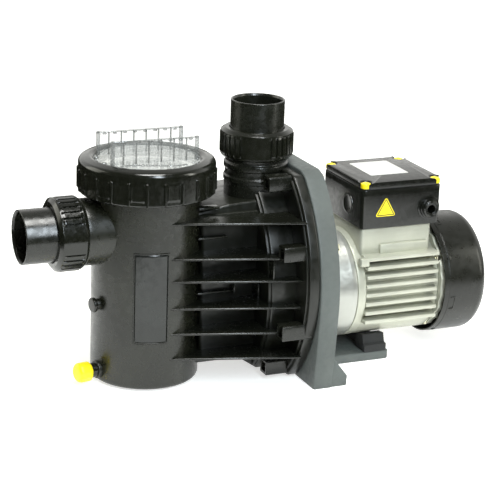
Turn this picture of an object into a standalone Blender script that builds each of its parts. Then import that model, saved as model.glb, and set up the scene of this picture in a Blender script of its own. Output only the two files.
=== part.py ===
"""A pool pump: strainer tank and ribbed casing, union nuts, seal and impeller, flange plate, finned motor.

Metres, +Z up, +X from the suction side to the motor. The origin is on the ground, in the middle of
the flange plate's foot. The shaft lies along X at SHAFT_Z.
"""
import math

import bmesh
import bpy
from mathutils import Matrix, Vector

MM = 0.001
GAP = 0.3 * MM  # clearance between pieces that touch
THREAD_GAP = 0.5 * MM  # clearance that stands for a pair of threads
ROUND = 28  # sides of a large round piece
SMALL_ROUND = 14  # sides of a small one

# ---- motor's size and height, which the shaft follows
BAR_THICK = 11 * MM
MOTOR_R = 66.7 * MM
MOTOR_RISE = 12.3 * MM  # room under the motor for its block
SHAFT_Z = BAR_THICK + MOTOR_RISE + MOTOR_R

# ---- strainer tank and its lid
TANK_X = -191 * MM
TANK_R = 63.4 * MM
TANK_WALL = 4.5 * MM
TANK_BOTTOM_Z = 2 * MM
TANK_TOP_Z = 256 * MM
COLLAR_R = TANK_R + 8.1 * MM
COLLAR_LOW_Z = 233 * MM
RING_R = COLLAR_R + 7.5 * MM
RING_LOW_Z = 229.6 * MM
RING_TOP_Z = 266.6 * MM
RING_LIP_R = COLLAR_R - 10 * MM
RING_LUGS = 12
LID_THICK = 4.5 * MM
LID_SEAL_WIRE = 2 * MM
WING_Y = 25 * MM
WING_HALF = RING_LIP_R - 8.5 * MM
WING_THICK = 3.5 * MM
WING_TOP_Z = 291 * MM

# ---- strainer basket
BASKET_R = TANK_R - TANK_WALL - 3.9 * MM
BASKET_TAPER = 4 * MM
BASKET_WALL = 2.5 * MM
BASKET_BOTTOM_Z = 70 * MM
BASKET_RIM_Z = 250 * MM
BASKET_SLOTS = 9

# ---- unions: glue spigot, collar and nut, shared by both ports
PIPE_R = 31.5 * MM
PIPE_WALL = 3 * MM
THREAD_R = 36 * MM
THREAD_LENGTH = 11.7 * MM
NUT_R = 43.4 * MM
NUT_LENGTH = 34 * MM
NUT_GRIPS = 8
COLLAR_THICK = 6 * MM
SUCTION_Z = 181.3 * MM
SUCTION_NUT_X = -273 * MM
SUCTION_END_X = -343 * MM
SUCTION_BOSS_R = 39 * MM
DISCHARGE_X = -55 * MM
DISCHARGE_NUT_Z = 257 * MM
DISCHARGE_END_Z = 324 * MM
NECK_R = 35 * MM
PORT_WIRE = 1.8 * MM

# ---- pump casing
FLANGE_FRONT_X = -36 * MM
CASING_BACK_X = -23.3 * MM
FLANGE_HALF = 123 * MM
FLANGE_ARC_R = 160 * MM
FLANGE_MID_Z = 122 * MM
FLANGE_LOW_Z = 3 * MM
FLANGE_HIGH_Z = 246 * MM
DRUM_FRONT_X = -66 * MM
DRUM_HALF = 86 * MM
DRUM_ARC_R = 150 * MM
DRUM_MID_Z = 110 * MM
DRUM_LOW_Z = 7 * MM
DRUM_HIGH_Z = 224 * MM
CHAMBER_R = 78 * MM
CASING_WALL = 5 * MM
CORE_HALF = 45 * MM
CORE_LOW_Z = 28 * MM
CORE_HIGH_Z = 202 * MM
RIB_HEIGHTS = [37.5 * MM, 68 * MM, 98.5 * MM, 131 * MM, 158 * MM, 200 * MM]
RIB_THICK = 3 * MM
RIB_NEAR = (-180 * MM, 55 * MM)
RIB_FAR = (FLANGE_FRONT_X + 2 * MM, 101 * MM)
EYE_BORE_R = 28 * MM
BOSS_WIDTH = 18 * MM
BOSS_FRONT_X = -64 * MM
BOLT_PLACES = [(52 * MM, 236 * MM), (101 * MM, 166 * MM), (104 * MM, 72 * MM), (62 * MM, 15 * MM)]
BOLT_R = 4 * MM
HEAD_R = 7.4 * MM

# ---- plugs on the tank
PLUG_ANGLE = math.radians(12)
DRAIN_Z = 17 * MM
DRAIN_R = 10.5 * MM
DRAIN_LENGTH = 22 * MM
DRAIN_STEM_R = 6 * MM
SIDE_PLUG_Z = 97 * MM
SIDE_PLUG_R = 6.5 * MM
SIDE_STEM_R = 3.5 * MM

# ---- seal plate, impeller, diffuser and shaft seal
PLATE_R = 80 * MM
PLATE_THICK = 13 * MM
CASING_WIRE = 2 * MM
IMPELLER_R = 58 * MM
IMPELLER_VANES = 6
DIFFUSER_VANES = 7
SHAFT_R = 7.5 * MM
SEAL_R = 15.5 * MM

# ---- flange plate with its foot
PLATE_HALF = 126 * MM
PLATE_ARC_R = 188 * MM
PLATE_MID_Z = 110 * MM
PLATE_HIGH_Z = 250 * MM
PLATE_FRONT_X = CASING_BACK_X + GAP
PLATE_BACK_X = 1 * MM
PLATE_RIM = 9 * MM
PLATE_WEB = 9 * MM
HUB_R = 66 * MM
FOOT_HALF = 115 * MM
FOOT_BACK_X = 21 * MM
FOOT_THICK = 12 * MM
GUSSET_HIGH_Z = 35 * MM
ANCHOR_R = 4.5 * MM
ANCHOR_Y = 88 * MM
BAR_HALF = 50 * MM
BAR_END_X = 110 * MM

# ---- motor
SHIELD_BACK_X = 55 * MM
SHIELD_FRONT_R = MOTOR_R - 4.7 * MM
HOUSING_BACK_X = 168 * MM
HOUSING_ROOT_R = MOTOR_R - 6.7 * MM
HOUSING_BORE_R = HOUSING_ROOT_R - 3.5 * MM
FIN_HALF = MOTOR_R + 0.3 * MM
FIN_LOW_Z = SHAFT_Z - 34 * MM
FIN_HIGH_Z = SHAFT_Z + 45 * MM
FIN_COUNT = 8
FIN_THICK = 3.5 * MM
FIN_FRONT_X = 66 * MM
FIN_BACK_X = 163 * MM
PEDESTAL = (63 * MM, 158 * MM, 50 * MM)
COWL_R = MOTOR_R + 7.4 * MM
COWL_WALL = 1.6 * MM
COWL_FRONT_X = 170 * MM
COWL_BACK_X = 230 * MM
COWL_ROUND = 12 * MM
COWL_SLOTS = 12
ROTOR_R = 34.4 * MM
STATOR_BORE_R = 35 * MM
CORE_FRONT_X = 76 * MM
CORE_BACK_X = 138 * MM
WINDING_LENGTH = 17 * MM
FRONT_BEARING = (9 * MM, 10 * MM, 23.5 * MM, 14 * MM)  # x, bore radius, outer radius, width
REAR_BEARING = (160 * MM, 8.5 * MM, 20 * MM, 12 * MM)
BEARING_BALLS = 7
FAN_X = 184 * MM
FAN_R = 62 * MM
FAN_BLADES = 9
FAN_WIDTH = 22 * MM
SUPPORT_TOP_Z = BAR_THICK + MOTOR_RISE + 5.7 * MM
SUPPORT = (73 * MM, 105 * MM, 50 * MM, SUPPORT_TOP_Z)  # low and high x, half width, top z

# ---- terminal box
BOX_X = (61 * MM, 167 * MM)
BOX_HALF = 53.5 * MM
BOX_LOW_Z = SHAFT_Z + MOTOR_R + 12.6 * MM
BOX_HIGH_Z = BOX_LOW_Z + 48.4 * MM
LID_HIGH_Z = BOX_HIGH_Z + 8.5 * MM
BOX_WALL = 3 * MM
BOX_CORNER = 6.5 * MM
SCREW_R = 6.2 * MM
SCREW_STEM_R = 2.2 * MM
SCREW_STEM = 16 * MM
GASKET_THICK = 1.2 * MM
GLAND_X = 150.5 * MM
GLAND_Z = BOX_LOW_Z + 20.7 * MM
GLAND_R = 11 * MM
GLAND_STEM_R = 8 * MM

# Turning these matrices points a piece's own +Z along the named direction.
ALONG_X = Matrix.Rotation(math.radians(90), 4, 'Y')
AGAINST_X = Matrix.Rotation(math.radians(-90), 4, 'Y')
AGAINST_Y = Matrix.Rotation(math.radians(90), 4, 'X')

BLACK_PLASTIC = ('black_plastic', (0.022, 0.024, 0.018), 0.35, 0.0)
GLOSS_BLACK = ('gloss_black', (0.015, 0.016, 0.013), 0.2, 0.0)
DARK_GREY = ('dark_grey', (0.12, 0.13, 0.125), 0.5, 0.0)
CLEAR = ('clear', (0.85, 0.87, 0.84), 0.05, 0.0)
RUBBER = ('rubber', (0.02, 0.02, 0.02), 0.8, 0.0)
YELLOW = ('yellow', (0.85, 0.72, 0.01), 0.4, 0.0)
GREY_PLASTIC = ('grey_plastic', (0.45, 0.46, 0.45), 0.5, 0.0)
ALUMINIUM = ('aluminium', (0.6, 0.61, 0.57), 0.45, 0.7)
STEEL = ('steel', (0.5, 0.5, 0.5), 0.3, 1.0)
ZINC = ('zinc', (0.65, 0.64, 0.58), 0.35, 1.0)
COPPER = ('copper', (0.55, 0.2, 0.07), 0.4, 1.0)
CERAMIC = ('ceramic', (0.8, 0.78, 0.72), 0.3, 0.0)
CARBON = ('carbon', (0.04, 0.04, 0.045), 0.5, 0.2)


# ------------------------------------------------------------------ shape helpers
def new_object(name, bm):
    """An object at the origin that holds this mesh, with its faces pointing out."""
    bmesh.ops.remove_doubles(bm, verts=bm.verts, dist=1e-7)
    bmesh.ops.dissolve_degenerate(bm, edges=bm.edges, dist=1e-7)
    bmesh.ops.recalc_face_normals(bm, faces=bm.faces)
    mesh = bpy.data.meshes.new(name)
    bm.to_mesh(mesh)
    bm.free()
    made = bpy.data.objects.new(name, mesh)
    bpy.context.scene.collection.objects.link(made)
    return made


def turned(name, profile, segments=ROUND):
    """A profile of (radius, height) points turned round the object's own Z."""
    bm = bmesh.new()
    points = [bm.verts.new((radius, 0, height)) for radius, height in profile]
    on_axis = profile[0][0] == 0 and profile[-1][0] == 0
    ends = list(zip(points, points[1:])) + ([] if on_axis else [(points[-1], points[0])])
    edges = [bm.edges.new(pair) for pair in ends]
    bmesh.ops.spin(bm, geom=points + edges, cent=(0, 0, 0), axis=(0, 0, 1),
                   angle=2 * math.pi, steps=segments, use_merge=True)
    return new_object(name, bm)


def prism(name, outline, low, high, axis='Z'):
    """An outline in the plane across an axis, extruded along it from low to high."""
    order = {'X': (2, 0, 1), 'Y': (0, 2, 1), 'Z': (0, 1, 2)}[axis]
    bm = bmesh.new()

    def place(a, b, height):
        values = (a, b, height)
        return Vector(values[index] for index in order)

    face = bm.faces.new([bm.verts.new(place(a, b, low)) for a, b in outline])
    grown = bmesh.ops.extrude_face_region(bm, geom=[face])
    tops = [item for item in grown['geom'] if isinstance(item, bmesh.types.BMVert)]
    bmesh.ops.translate(bm, verts=tops, vec=place(0, 0, high - low))
    return new_object(name, bm)


def block(name, low, high):
    """A box between two corners."""
    outline = [(low[0], low[1]), (high[0], low[1]), (high[0], high[1]), (low[0], high[1])]
    return prism(name, outline, low[2], high[2])


def tube(name, inner, outer, low, high, segments=ROUND):
    """A ring of rectangular section along the object's own Z."""
    return turned(name, [(inner, high), (outer, high), (outer, low), (inner, low)], segments)


def rod(name, radius, low, high, segments=SMALL_ROUND):
    """A solid cylinder along the object's own Z."""
    return turned(name, [(0, high), (radius, high), (radius, low), (0, low)], segments)


def wire_ring(name, middle, wire, height, segments=SMALL_ROUND, sides=6):
    """A ring of round section, such as an O-ring, around the object's own Z."""
    angles = [2 * math.pi * side / sides for side in range(sides)]
    profile = [(middle + wire * math.cos(a), height - wire * math.sin(a)) for a in angles]
    return turned(name, profile, segments)


def rounded(points, radius, steps=4):
    """The outline with each corner replaced by an arc of this radius."""
    made = []
    count = len(points)
    for index in range(count):
        corner = Vector(points[index])
        before = (Vector(points[index - 1]) - corner).normalized()
        after = (Vector(points[(index + 1) % count]) - corner).normalized()
        half = before.angle(after) / 2
        reach = radius / math.tan(half)
        centre = corner + (before + after).normalized() * (radius / math.sin(half))
        start = corner + before * reach - centre
        turn = start.angle_signed(corner + after * reach - centre)
        for step in range(steps + 1):
            arm = start.copy()
            arm.rotate(Matrix.Rotation(-turn * step / steps, 2))
            made.append(tuple(centre + arm))
    return made


def rectangle(half_x, half_y, middle=(0, 0)):
    """The four corners of a rectangle, anticlockwise."""
    x, y = middle
    return [(x - half_x, y - half_y), (x + half_x, y - half_y),
            (x + half_x, y + half_y), (x - half_x, y + half_y)]


def barrel(half, arc_r, middle_z, low_z, high_z, steps=14):
    """A flat-topped outline in Y and Z whose sides are arcs that bulge to the half width."""
    centre = arc_r - half
    first = math.asin((low_z - middle_z) / arc_r)
    last = math.asin((high_z - middle_z) / arc_r)
    side = []
    for step in range(steps + 1):
        angle = first + (last - first) * step / steps
        side.append((arc_r * math.cos(angle) - centre, middle_z + arc_r * math.sin(angle)))
    return side + [(-y, z) for y, z in reversed(side)]


def circle(radius, count, middle=(0, 0), phase=0.0):
    """Points round a circle, anticlockwise."""
    turns = [phase + 2 * math.pi * step / count for step in range(count)]
    return [(middle[0] + radius * math.cos(t), middle[1] + radius * math.sin(t)) for t in turns]


def moved(made, matrix):
    """The object's mesh carried by a matrix, its origin left where it is."""
    made.data.transform(matrix)
    made.data.update()
    return made


def combined(target, tools, operation):
    """The target joined with, or cut by, all the tools at once. The tools are then removed."""
    group = bpy.data.collections.new('tools')
    bpy.context.scene.collection.children.link(group)
    for tool in tools:
        bpy.context.scene.collection.objects.unlink(tool)
        group.objects.link(tool)
    modifier = target.modifiers.new('combine', 'BOOLEAN')
    modifier.operation = operation
    modifier.operand_type = 'COLLECTION'
    modifier.collection = group
    bpy.context.view_layer.update()
    graph = bpy.context.evaluated_depsgraph_get()
    bm = bmesh.new()
    bm.from_object(target, graph)
    bmesh.ops.triangulate(bm, faces=bm.faces)
    target.modifiers.clear()
    bm.to_mesh(target.data)
    bm.free()
    for tool in tools:
        bpy.data.objects.remove(tool)
    bpy.data.collections.remove(group)
    return target


def joined(target, *tools):
    """The union of the target and the tools."""
    return combined(target, tools, 'UNION')


def cut(target, *tools):
    """The target with the tools' shapes taken away."""
    return combined(target, tools, 'DIFFERENCE')


def around(make, count, phase=0.0):
    """One mesh of equal pieces set round the object's own Z. make(index) gives each piece."""
    bm = bmesh.new()
    for index in range(count):
        piece = make(index)
        piece.data.transform(Matrix.Rotation(phase + 2 * math.pi * index / count, 4, 'Z'))
        bm.from_mesh(piece.data)
        bpy.data.objects.remove(piece)
    return new_object('pattern', bm)


def material_of(finish):
    """The finish's material, made the first time that it is asked for."""
    name, colour, roughness, metallic = finish
    found = bpy.data.materials.get(name)
    if found:
        return found
    made = bpy.data.materials.new(name)
    made.use_nodes = True
    shader = made.node_tree.nodes['Principled BSDF']
    shader.inputs['Base Color'].default_value = (*colour, 1)
    shader.inputs['Roughness'].default_value = roughness
    shader.inputs['Metallic'].default_value = metallic
    made.diffuse_color = (*colour, 1)
    return made


def finished(made, name, finish, place=(0, 0, 0), turn=None):
    """The piece named, coloured, shaded and put in its place."""
    made.name = name
    made.data.name = name
    made.data.materials.clear()
    made.data.materials.append(material_of(finish))
    made.data.shade_smooth()
    made.data.set_sharp_from_angle(angle=math.radians(32))
    made.matrix_world = Matrix.Translation(place) @ (turn or Matrix.Identity(4))
    return made


# ------------------------------------------------------------------ pump casing
SPIGOT_FACE = THREAD_LENGTH + GAP  # from the nut's pump end to the spigot's sealing face
TANK_PLACE = Matrix.Translation((TANK_X, 0, 0))
SUCTION_PLACE = Matrix.Translation((SUCTION_NUT_X, 0, SUCTION_Z)) @ AGAINST_X
DISCHARGE_PLACE = Matrix.Translation((DISCHARGE_X, 0, DISCHARGE_NUT_Z))
SHAFT_PLACE = Matrix.Translation((0, 0, SHAFT_Z)) @ ALONG_X


def plug_place(height):
    """Where a plug leaves the tank's wall, its own +Z pointing out of the tank."""
    out = Matrix.Rotation(PLUG_ANGLE, 4, 'Z') @ Matrix.Translation((-TANK_R, 0, 0)) @ AGAINST_X
    return Matrix.Translation((TANK_X, 0, height)) @ out


def tank_shell():
    """The tank's outside with the collar that the lid ring screws onto."""
    bottom, top = TANK_BOTTOM_Z, TANK_TOP_Z
    edge = 8 * MM
    corner = [(TANK_R - edge * (1 - math.sin(a)), bottom + edge * (1 - math.cos(a)))
              for a in (math.radians(step * 30) for step in (3, 2, 1, 0))]
    profile = [(0, top), (COLLAR_R, top), (COLLAR_R, COLLAR_LOW_Z), (TANK_R, COLLAR_LOW_Z - 3 * MM)]
    return moved(turned('tank', profile + corner + [(0, bottom)], ROUND), TANK_PLACE)


def port(thread_start, place, neck_r, neck_length):
    """A neck and the plain cylinder that stands for its thread, along a union's own axis."""
    made = turned('port', [(0, THREAD_LENGTH), (THREAD_R, THREAD_LENGTH), (THREAD_R, thread_start),
                           (neck_r, thread_start), (neck_r, -neck_length), (0, -neck_length)], ROUND)
    return moved(made, place)


def bolt_sites():
    """The (y, z) of every casing bolt, near side first."""
    return [(side * y, z) for side in (-1, 1) for y, z in BOLT_PLACES]


def casing_ribs():
    """The plates that run from the tank out to the flange."""
    outline = [(RIB_NEAR[0], -RIB_NEAR[1]), (RIB_FAR[0], -RIB_FAR[1]),
               (RIB_FAR[0], RIB_FAR[1]), (RIB_NEAR[0], RIB_NEAR[1])]
    return [prism('rib', outline, z - RIB_THICK / 2, z + RIB_THICK / 2) for z in RIB_HEIGHTS]


def pump_casing():
    """Tank, ports, volute and flange in one moulding, open at the tank's top and at the flange."""
    core_front = TANK_X + TANK_R - 12 * MM
    belly = [(core_front, CORE_LOW_Z), (-97 * MM, CORE_LOW_Z), (-64 * MM, 6 * MM),
             (FLANGE_FRONT_X + 2 * MM, 6 * MM), (FLANGE_FRONT_X + 2 * MM, 60 * MM), (core_front, 60 * MM)]
    casing = tank_shell()
    drum = barrel(DRUM_HALF, DRUM_ARC_R, DRUM_MID_Z, DRUM_LOW_Z, DRUM_HIGH_Z)
    flange = barrel(FLANGE_HALF, FLANGE_ARC_R, FLANGE_MID_Z, FLANGE_LOW_Z, FLANGE_HIGH_Z)
    outside = [
        block('core', (core_front, -CORE_HALF, CORE_LOW_Z), (-60 * MM, CORE_HALF, CORE_HIGH_Z)),
        prism('belly', belly, -CORE_HALF + 2 * MM, CORE_HALF - 2 * MM, 'Y'),
        prism('drum', drum, DRUM_FRONT_X - 4 * MM, FLANGE_FRONT_X + 3 * MM, 'X'),
        prism('flange', flange, FLANGE_FRONT_X, CASING_BACK_X, 'X'),
    ]
    outside.append(port(-GAP, DISCHARGE_PLACE, NECK_R, 110 * MM))
    boss_length = TANK_X - TANK_R - SUCTION_NUT_X + 6.4 * MM
    outside.append(port(-GAP, SUCTION_PLACE, SUCTION_BOSS_R, boss_length))
    outside += casing_ribs()
    for y, z in bolt_sites():
        outline = rounded(rectangle(BOSS_WIDTH / 2, BOSS_WIDTH / 2, (y, z)), 2.5 * MM, 1)
        outside.append(prism('boss', outline, BOSS_FRONT_X, CASING_BACK_X - 1 * MM, 'X'))
    for height, radius in ((DRAIN_Z, DRAIN_R), (SIDE_PLUG_Z, SIDE_PLUG_R)):
        outside.append(moved(rod('pad', radius, -3 * MM, 4 * MM, SMALL_ROUND), plug_place(height)))
    joined(casing, *outside)

    bore_r = PIPE_R - PIPE_WALL
    tank_r = TANK_R - TANK_WALL
    seat_r = BASKET_R + 5.5 * MM
    groove_r = LID_SEAL_WIRE + 0.3 * MM
    seal_r = (seat_r + COLLAR_R) / 2
    inside = [
        block('behind', (CASING_BACK_X, -0.2, -0.1), (0.1, 0.2, DISCHARGE_NUT_Z - 5 * MM)),
        moved(rod('cavity', tank_r, 8 * MM, 0.3, ROUND), TANK_PLACE),
        moved(rod('seat', seat_r, BASKET_RIM_Z - 4 * MM, 0.3, ROUND), TANK_PLACE),
        moved(tube('groove', seal_r - groove_r, seal_r + groove_r, TANK_TOP_Z - 2.6 * MM, 0.3, ROUND),
              TANK_PLACE),
        moved(rod('suction', bore_r, SUCTION_NUT_X - TANK_X + tank_r / 2, 0.1, ROUND), SUCTION_PLACE),
        moved(rod('discharge', bore_r, -100 * MM, 0.1, ROUND), DISCHARGE_PLACE),
        moved(rod('chamber', CHAMBER_R, DRUM_FRONT_X, CASING_BACK_X - PLATE_THICK, ROUND), SHAFT_PLACE),
        moved(rod('opening', PLATE_R + GAP, CASING_BACK_X - PLATE_THICK - 0.8 * MM, 0.1, ROUND), SHAFT_PLACE),
        block('reservoir', (TANK_X + TANK_R + CASING_WALL, CASING_WALL - CORE_HALF, CORE_LOW_Z + CASING_WALL),
              (DRUM_FRONT_X + 2 * MM, CORE_HALF - CASING_WALL, CORE_HIGH_Z - CASING_WALL)),
    ]
    for place in (SUCTION_PLACE, DISCHARGE_PLACE):
        inside.append(moved(port_groove(), place))
    for y, z in bolt_sites():
        hole = prism('hole', circle(BOLT_R + GAP, 8, (y, z)), BOSS_FRONT_X + 6 * MM, 0.1, 'X')
        inside.append(hole)
    for height, radius in ((DRAIN_Z, DRAIN_STEM_R), (SIDE_PLUG_Z, SIDE_STEM_R)):
        inside.append(moved(rod('tap', radius + GAP, -14 * MM, 14 * MM, SMALL_ROUND), plug_place(height)))
    cut(casing, *inside)
    duct = moved(rod('duct', EYE_BORE_R + 4 * MM, TANK_X + TANK_R - 1 * MM, DRUM_FRONT_X + 3 * MM, ROUND),
                 SHAFT_PLACE)
    joined(casing, duct)
    eye = rod('eye', EYE_BORE_R, TANK_X + TANK_R - 12 * MM, DRUM_FRONT_X + 20 * MM, ROUND)
    cut(casing, moved(eye, SHAFT_PLACE))
    return finished(casing, 'pump_casing', BLACK_PLASTIC)


def port_groove():
    """The cutter for the O-ring groove in a port's end face."""
    middle = (PIPE_R - PIPE_WALL + THREAD_R) / 2
    reach = PORT_WIRE + 0.3 * MM
    depth = 2 * PORT_WIRE
    return tube('groove', middle - reach, middle + reach, THREAD_LENGTH - depth, THREAD_LENGTH + 0.01, ROUND)


# ------------------------------------------------------------------ unions
def union_set(side, place, end):
    """A port's glue spigot, union nut and O-ring, along the port's own axis, out to its end."""
    origin = place.to_translation()
    turn = place.to_3x3().to_4x4()
    bore_r = PIPE_R - PIPE_WALL
    length = abs(end - (origin.x if side == 'suction' else origin.z))
    top = SPIGOT_FACE + COLLAR_THICK
    spigot = turned('spigot', [
        (bore_r, length), (PIPE_R - 1.5 * MM, length), (PIPE_R, length - 3 * MM), (PIPE_R, top),
        (THREAD_R, top), (THREAD_R, SPIGOT_FACE), (bore_r, SPIGOT_FACE)], ROUND)
    finished(spigot, side + '_spigot', BLACK_PLASTIC, origin, turn)

    lip = top + GAP
    thread_bore = THREAD_R + THREAD_GAP
    chamfer = 3 * MM
    face_r = NUT_R - 2.4 * MM
    nut = turned('nut', [
        (PIPE_R + THREAD_GAP, NUT_LENGTH), (face_r - chamfer, NUT_LENGTH), (face_r, NUT_LENGTH - chamfer),
        (face_r, chamfer + 1 * MM), (face_r - 1 * MM, 0), (thread_bore, 0), (thread_bore, lip),
        (PIPE_R + THREAD_GAP, lip)], ROUND)
    pad = [(face_r - 1 * MM, -8 * MM), (NUT_R, -7.5 * MM), (NUT_R, 7.5 * MM), (face_r - 1 * MM, 8 * MM)]
    grips = around(lambda _: prism('grip', pad, 5 * MM, NUT_LENGTH - 7 * MM), NUT_GRIPS)
    finished(joined(nut, grips), side + '_union_nut', GLOSS_BLACK, origin, turn)

    middle = (bore_r + THREAD_R) / 2
    seal = wire_ring('seal', middle, PORT_WIRE, THREAD_LENGTH - PORT_WIRE, ROUND)
    finished(seal, side + '_oring', RUBBER, origin, turn)


# ------------------------------------------------------------------ tank lid, ring, basket, plugs
def tank_lid():
    """The clear lid with its two upright wings."""
    low = TANK_TOP_Z + 2.1 * MM
    top = low + LID_THICK
    lid_r = COLLAR_R - 1 * MM
    disc = turned('lid', [(0, top + 1.5 * MM), (RING_LIP_R - 3 * MM, top + 1.5 * MM),
                          (RING_LIP_R - 1.5 * MM, top), (lid_r, top), (lid_r, low), (0, low)], ROUND)
    wings = []
    for side in (-1, 1):
        y = side * WING_Y
        outline = rounded(rectangle(WING_HALF, WING_THICK / 2, (0, y)), 1.2 * MM, 2)
        wings.append(prism('wing', outline, top - 1 * MM, WING_TOP_Z))
        for end in (-1, 1):
            post = circle(3.2 * MM, 10, (end * (WING_HALF - 2.5 * MM), y))
            wings.append(prism('post', post, top - 1 * MM, WING_TOP_Z + 1 * MM))
    finished(joined(disc, *wings), 'tank_lid', CLEAR, (TANK_X, 0, 0))

    seal_r = (BASKET_R + 5.5 * MM + COLLAR_R) / 2
    seal = wire_ring('seal', seal_r, LID_SEAL_WIRE, TANK_TOP_Z - 0.2 * MM, ROUND)
    finished(seal, 'lid_oring', RUBBER, (TANK_X, 0, 0))


def lid_ring():
    """The screw ring that holds the lid down, with upright grip bars round its skirt."""
    bore = COLLAR_R + THREAD_GAP
    under = TANK_TOP_Z + 2.1 * MM + LID_THICK + GAP
    crown = 9 * MM
    arc = [(RING_R - crown * (1 - math.sin(a)), RING_TOP_Z - crown * (1 - math.cos(a)))
           for a in (math.radians(step * 30) for step in range(4))]
    ring = turned('ring', [(RING_LIP_R, RING_TOP_Z - 2 * MM), (RING_LIP_R + 3 * MM, RING_TOP_Z)] + arc
                  + [(RING_R, RING_LOW_Z), (bore, RING_LOW_Z), (bore, under), (RING_LIP_R, under)], ROUND)
    bar = rectangle(2 * MM, 3 * MM, (RING_R, 0))
    bars = around(lambda _: prism('bar', bar, RING_LOW_Z + 1 * MM, RING_TOP_Z - 12 * MM), RING_LUGS)
    finished(joined(ring, bars), 'lid_ring', GLOSS_BLACK, (TANK_X, 0, 0))


def strainer_basket():
    """The slotted basket that hangs by its rim in the tank, with a bridge handle."""
    low_r = BASKET_R - BASKET_TAPER
    rim_r = BASKET_R + 5 * MM
    rim_low = BASKET_RIM_Z - 3.6 * MM
    floor = BASKET_BOTTOM_Z + BASKET_WALL
    cup = turned('cup', [
        (0, floor), (low_r - BASKET_WALL, floor), (BASKET_R - BASKET_WALL, BASKET_RIM_Z),
        (rim_r, BASKET_RIM_Z), (rim_r, rim_low), (BASKET_R, rim_low), (low_r, BASKET_BOTTOM_Z),
        (0, BASKET_BOTTOM_Z)], ROUND)
    rows = 2
    pitch = (BASKET_RIM_Z - BASKET_BOTTOM_Z - 30 * MM) / rows
    for row in range(rows):
        base = BASKET_BOTTOM_Z + 12 * MM + row * pitch
        cut(cup, around(lambda _: block('slot', (low_r - 8 * MM, -7 * MM, base),
                                        (BASKET_R + 4 * MM, 7 * MM, base + pitch - 8 * MM)), BASKET_SLOTS))
    reach = BASKET_R - BASKET_WALL + 1 * MM
    top = BASKET_RIM_Z
    bridge = [(-reach, top - 14 * MM), (-reach, top), (reach, top), (reach, top - 14 * MM),
              (reach - 7 * MM, top - 5 * MM), (7 * MM - reach, top - 5 * MM)]
    handle = prism('handle', bridge, -4 * MM, 4 * MM, 'Y')
    joined(cup, handle)
    finished(cup, 'strainer_basket', GREY_PLASTIC, (TANK_X, 0, 0))


def tank_plug(name, height, knob_r, length, stem_r, finish, ring_name=None):
    """A screw plug in the tank's wall with a knob outside it, and the O-ring under the knob."""
    place = plug_place(height)
    face = 4 * MM + GAP
    seal_wire = 1.2 * MM
    start = face + (2 * seal_wire if ring_name else 0)
    round_r = knob_r - 1.5 * MM
    knob = turned('knob', [
        (0, start + length), (round_r - 1 * MM, start + length), (knob_r, start + length - 3 * MM),
        (knob_r, start + 3 * MM), (round_r, start), (stem_r, start), (stem_r, -6 * MM), (0, -6 * MM)],
        SMALL_ROUND)
    finished(knob, name, finish, place.to_translation(), place.to_3x3().to_4x4())
    if ring_name:
        wire = seal_wire - 0.1 * MM
        seal = wire_ring('seal', stem_r + seal_wire + 0.2 * MM, wire, face + wire, SMALL_ROUND)
        finished(seal, ring_name, RUBBER, place.to_translation(), place.to_3x3().to_4x4())


# ------------------------------------------------------------------ seal plate, impeller, shaft seal
PLATE_X = CASING_BACK_X - PLATE_THICK - GAP  # the seal plate's wet face
SEAT_LENGTH = 6 * MM
FACE_LENGTH = 3 * MM
BACK_SHROUD_X = PLATE_X - 13 * MM
FRONT_SHROUD_X = BACK_SHROUD_X - 9.5 * MM
SHROUD = 3 * MM


def seal_plate():
    """The round cover behind the impeller that holds the shaft seal's fixed ring."""
    back = CASING_BACK_X - GAP
    groove_x = back - 6 * MM
    depth = 2 * CASING_WIRE + 0.2 * MM
    pocket_x = PLATE_X + SEAT_LENGTH + GAP
    plate = turned('plate', [
        (SEAL_R + GAP, PLATE_X), (SEAL_R + GAP, pocket_x), (SHAFT_R + 3 * MM, pocket_x),
        (SHAFT_R + 3 * MM, back), (PLATE_R, back), (PLATE_R, groove_x + 2.4 * MM),
        (PLATE_R - depth, groove_x + 2.4 * MM), (PLATE_R - depth, groove_x - 2.4 * MM),
        (PLATE_R, groove_x - 2.4 * MM), (PLATE_R, PLATE_X)], ROUND)
    finished(plate, 'seal_plate', BLACK_PLASTIC, (0, 0, SHAFT_Z), ALONG_X)
    seal = wire_ring('seal', PLATE_R - CASING_WIRE - 0.1 * MM, CASING_WIRE - 0.1 * MM, groove_x, ROUND)
    finished(seal, 'casing_oring', RUBBER, (0, 0, SHAFT_Z), ALONG_X)


def shaft_seal():
    """The fixed ceramic ring, the turning carbon ring and the spring sleeve behind it."""
    inner = SHAFT_R + 2 * MM
    front = PLATE_X - GAP - FACE_LENGTH
    pieces = [
        ('seal_seat', CERAMIC, inner, SEAL_R, PLATE_X, PLATE_X + SEAT_LENGTH),
        ('seal_face', CARBON, SHAFT_R + GAP, SEAL_R - 1.5 * MM, front, PLATE_X - GAP),
        ('seal_spring', STEEL, SHAFT_R + GAP, SEAL_R - 3 * MM, BACK_SHROUD_X + SHROUD + GAP, front - GAP)]
    for name, finish, bore, outer, low, high in pieces:
        finished(tube('ring', bore, outer, low, high, SMALL_ROUND), name, finish, (0, 0, SHAFT_Z), ALONG_X)


def vane(inner_r, outer_r, sweep, low, high, thick):
    """A curved vane that leans round by the sweep angle between two radii."""
    steps = 4
    near, far = [], []
    for step in range(steps + 1):
        share = step / steps
        radius = inner_r + (outer_r - inner_r) * share
        turn = sweep * share
        half = thick / 2 / radius
        near.append((radius * math.cos(turn - half), radius * math.sin(turn - half)))
        far.append((radius * math.cos(turn + half), radius * math.sin(turn + half)))
    return prism('vane', near + far[::-1], low, high)


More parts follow.
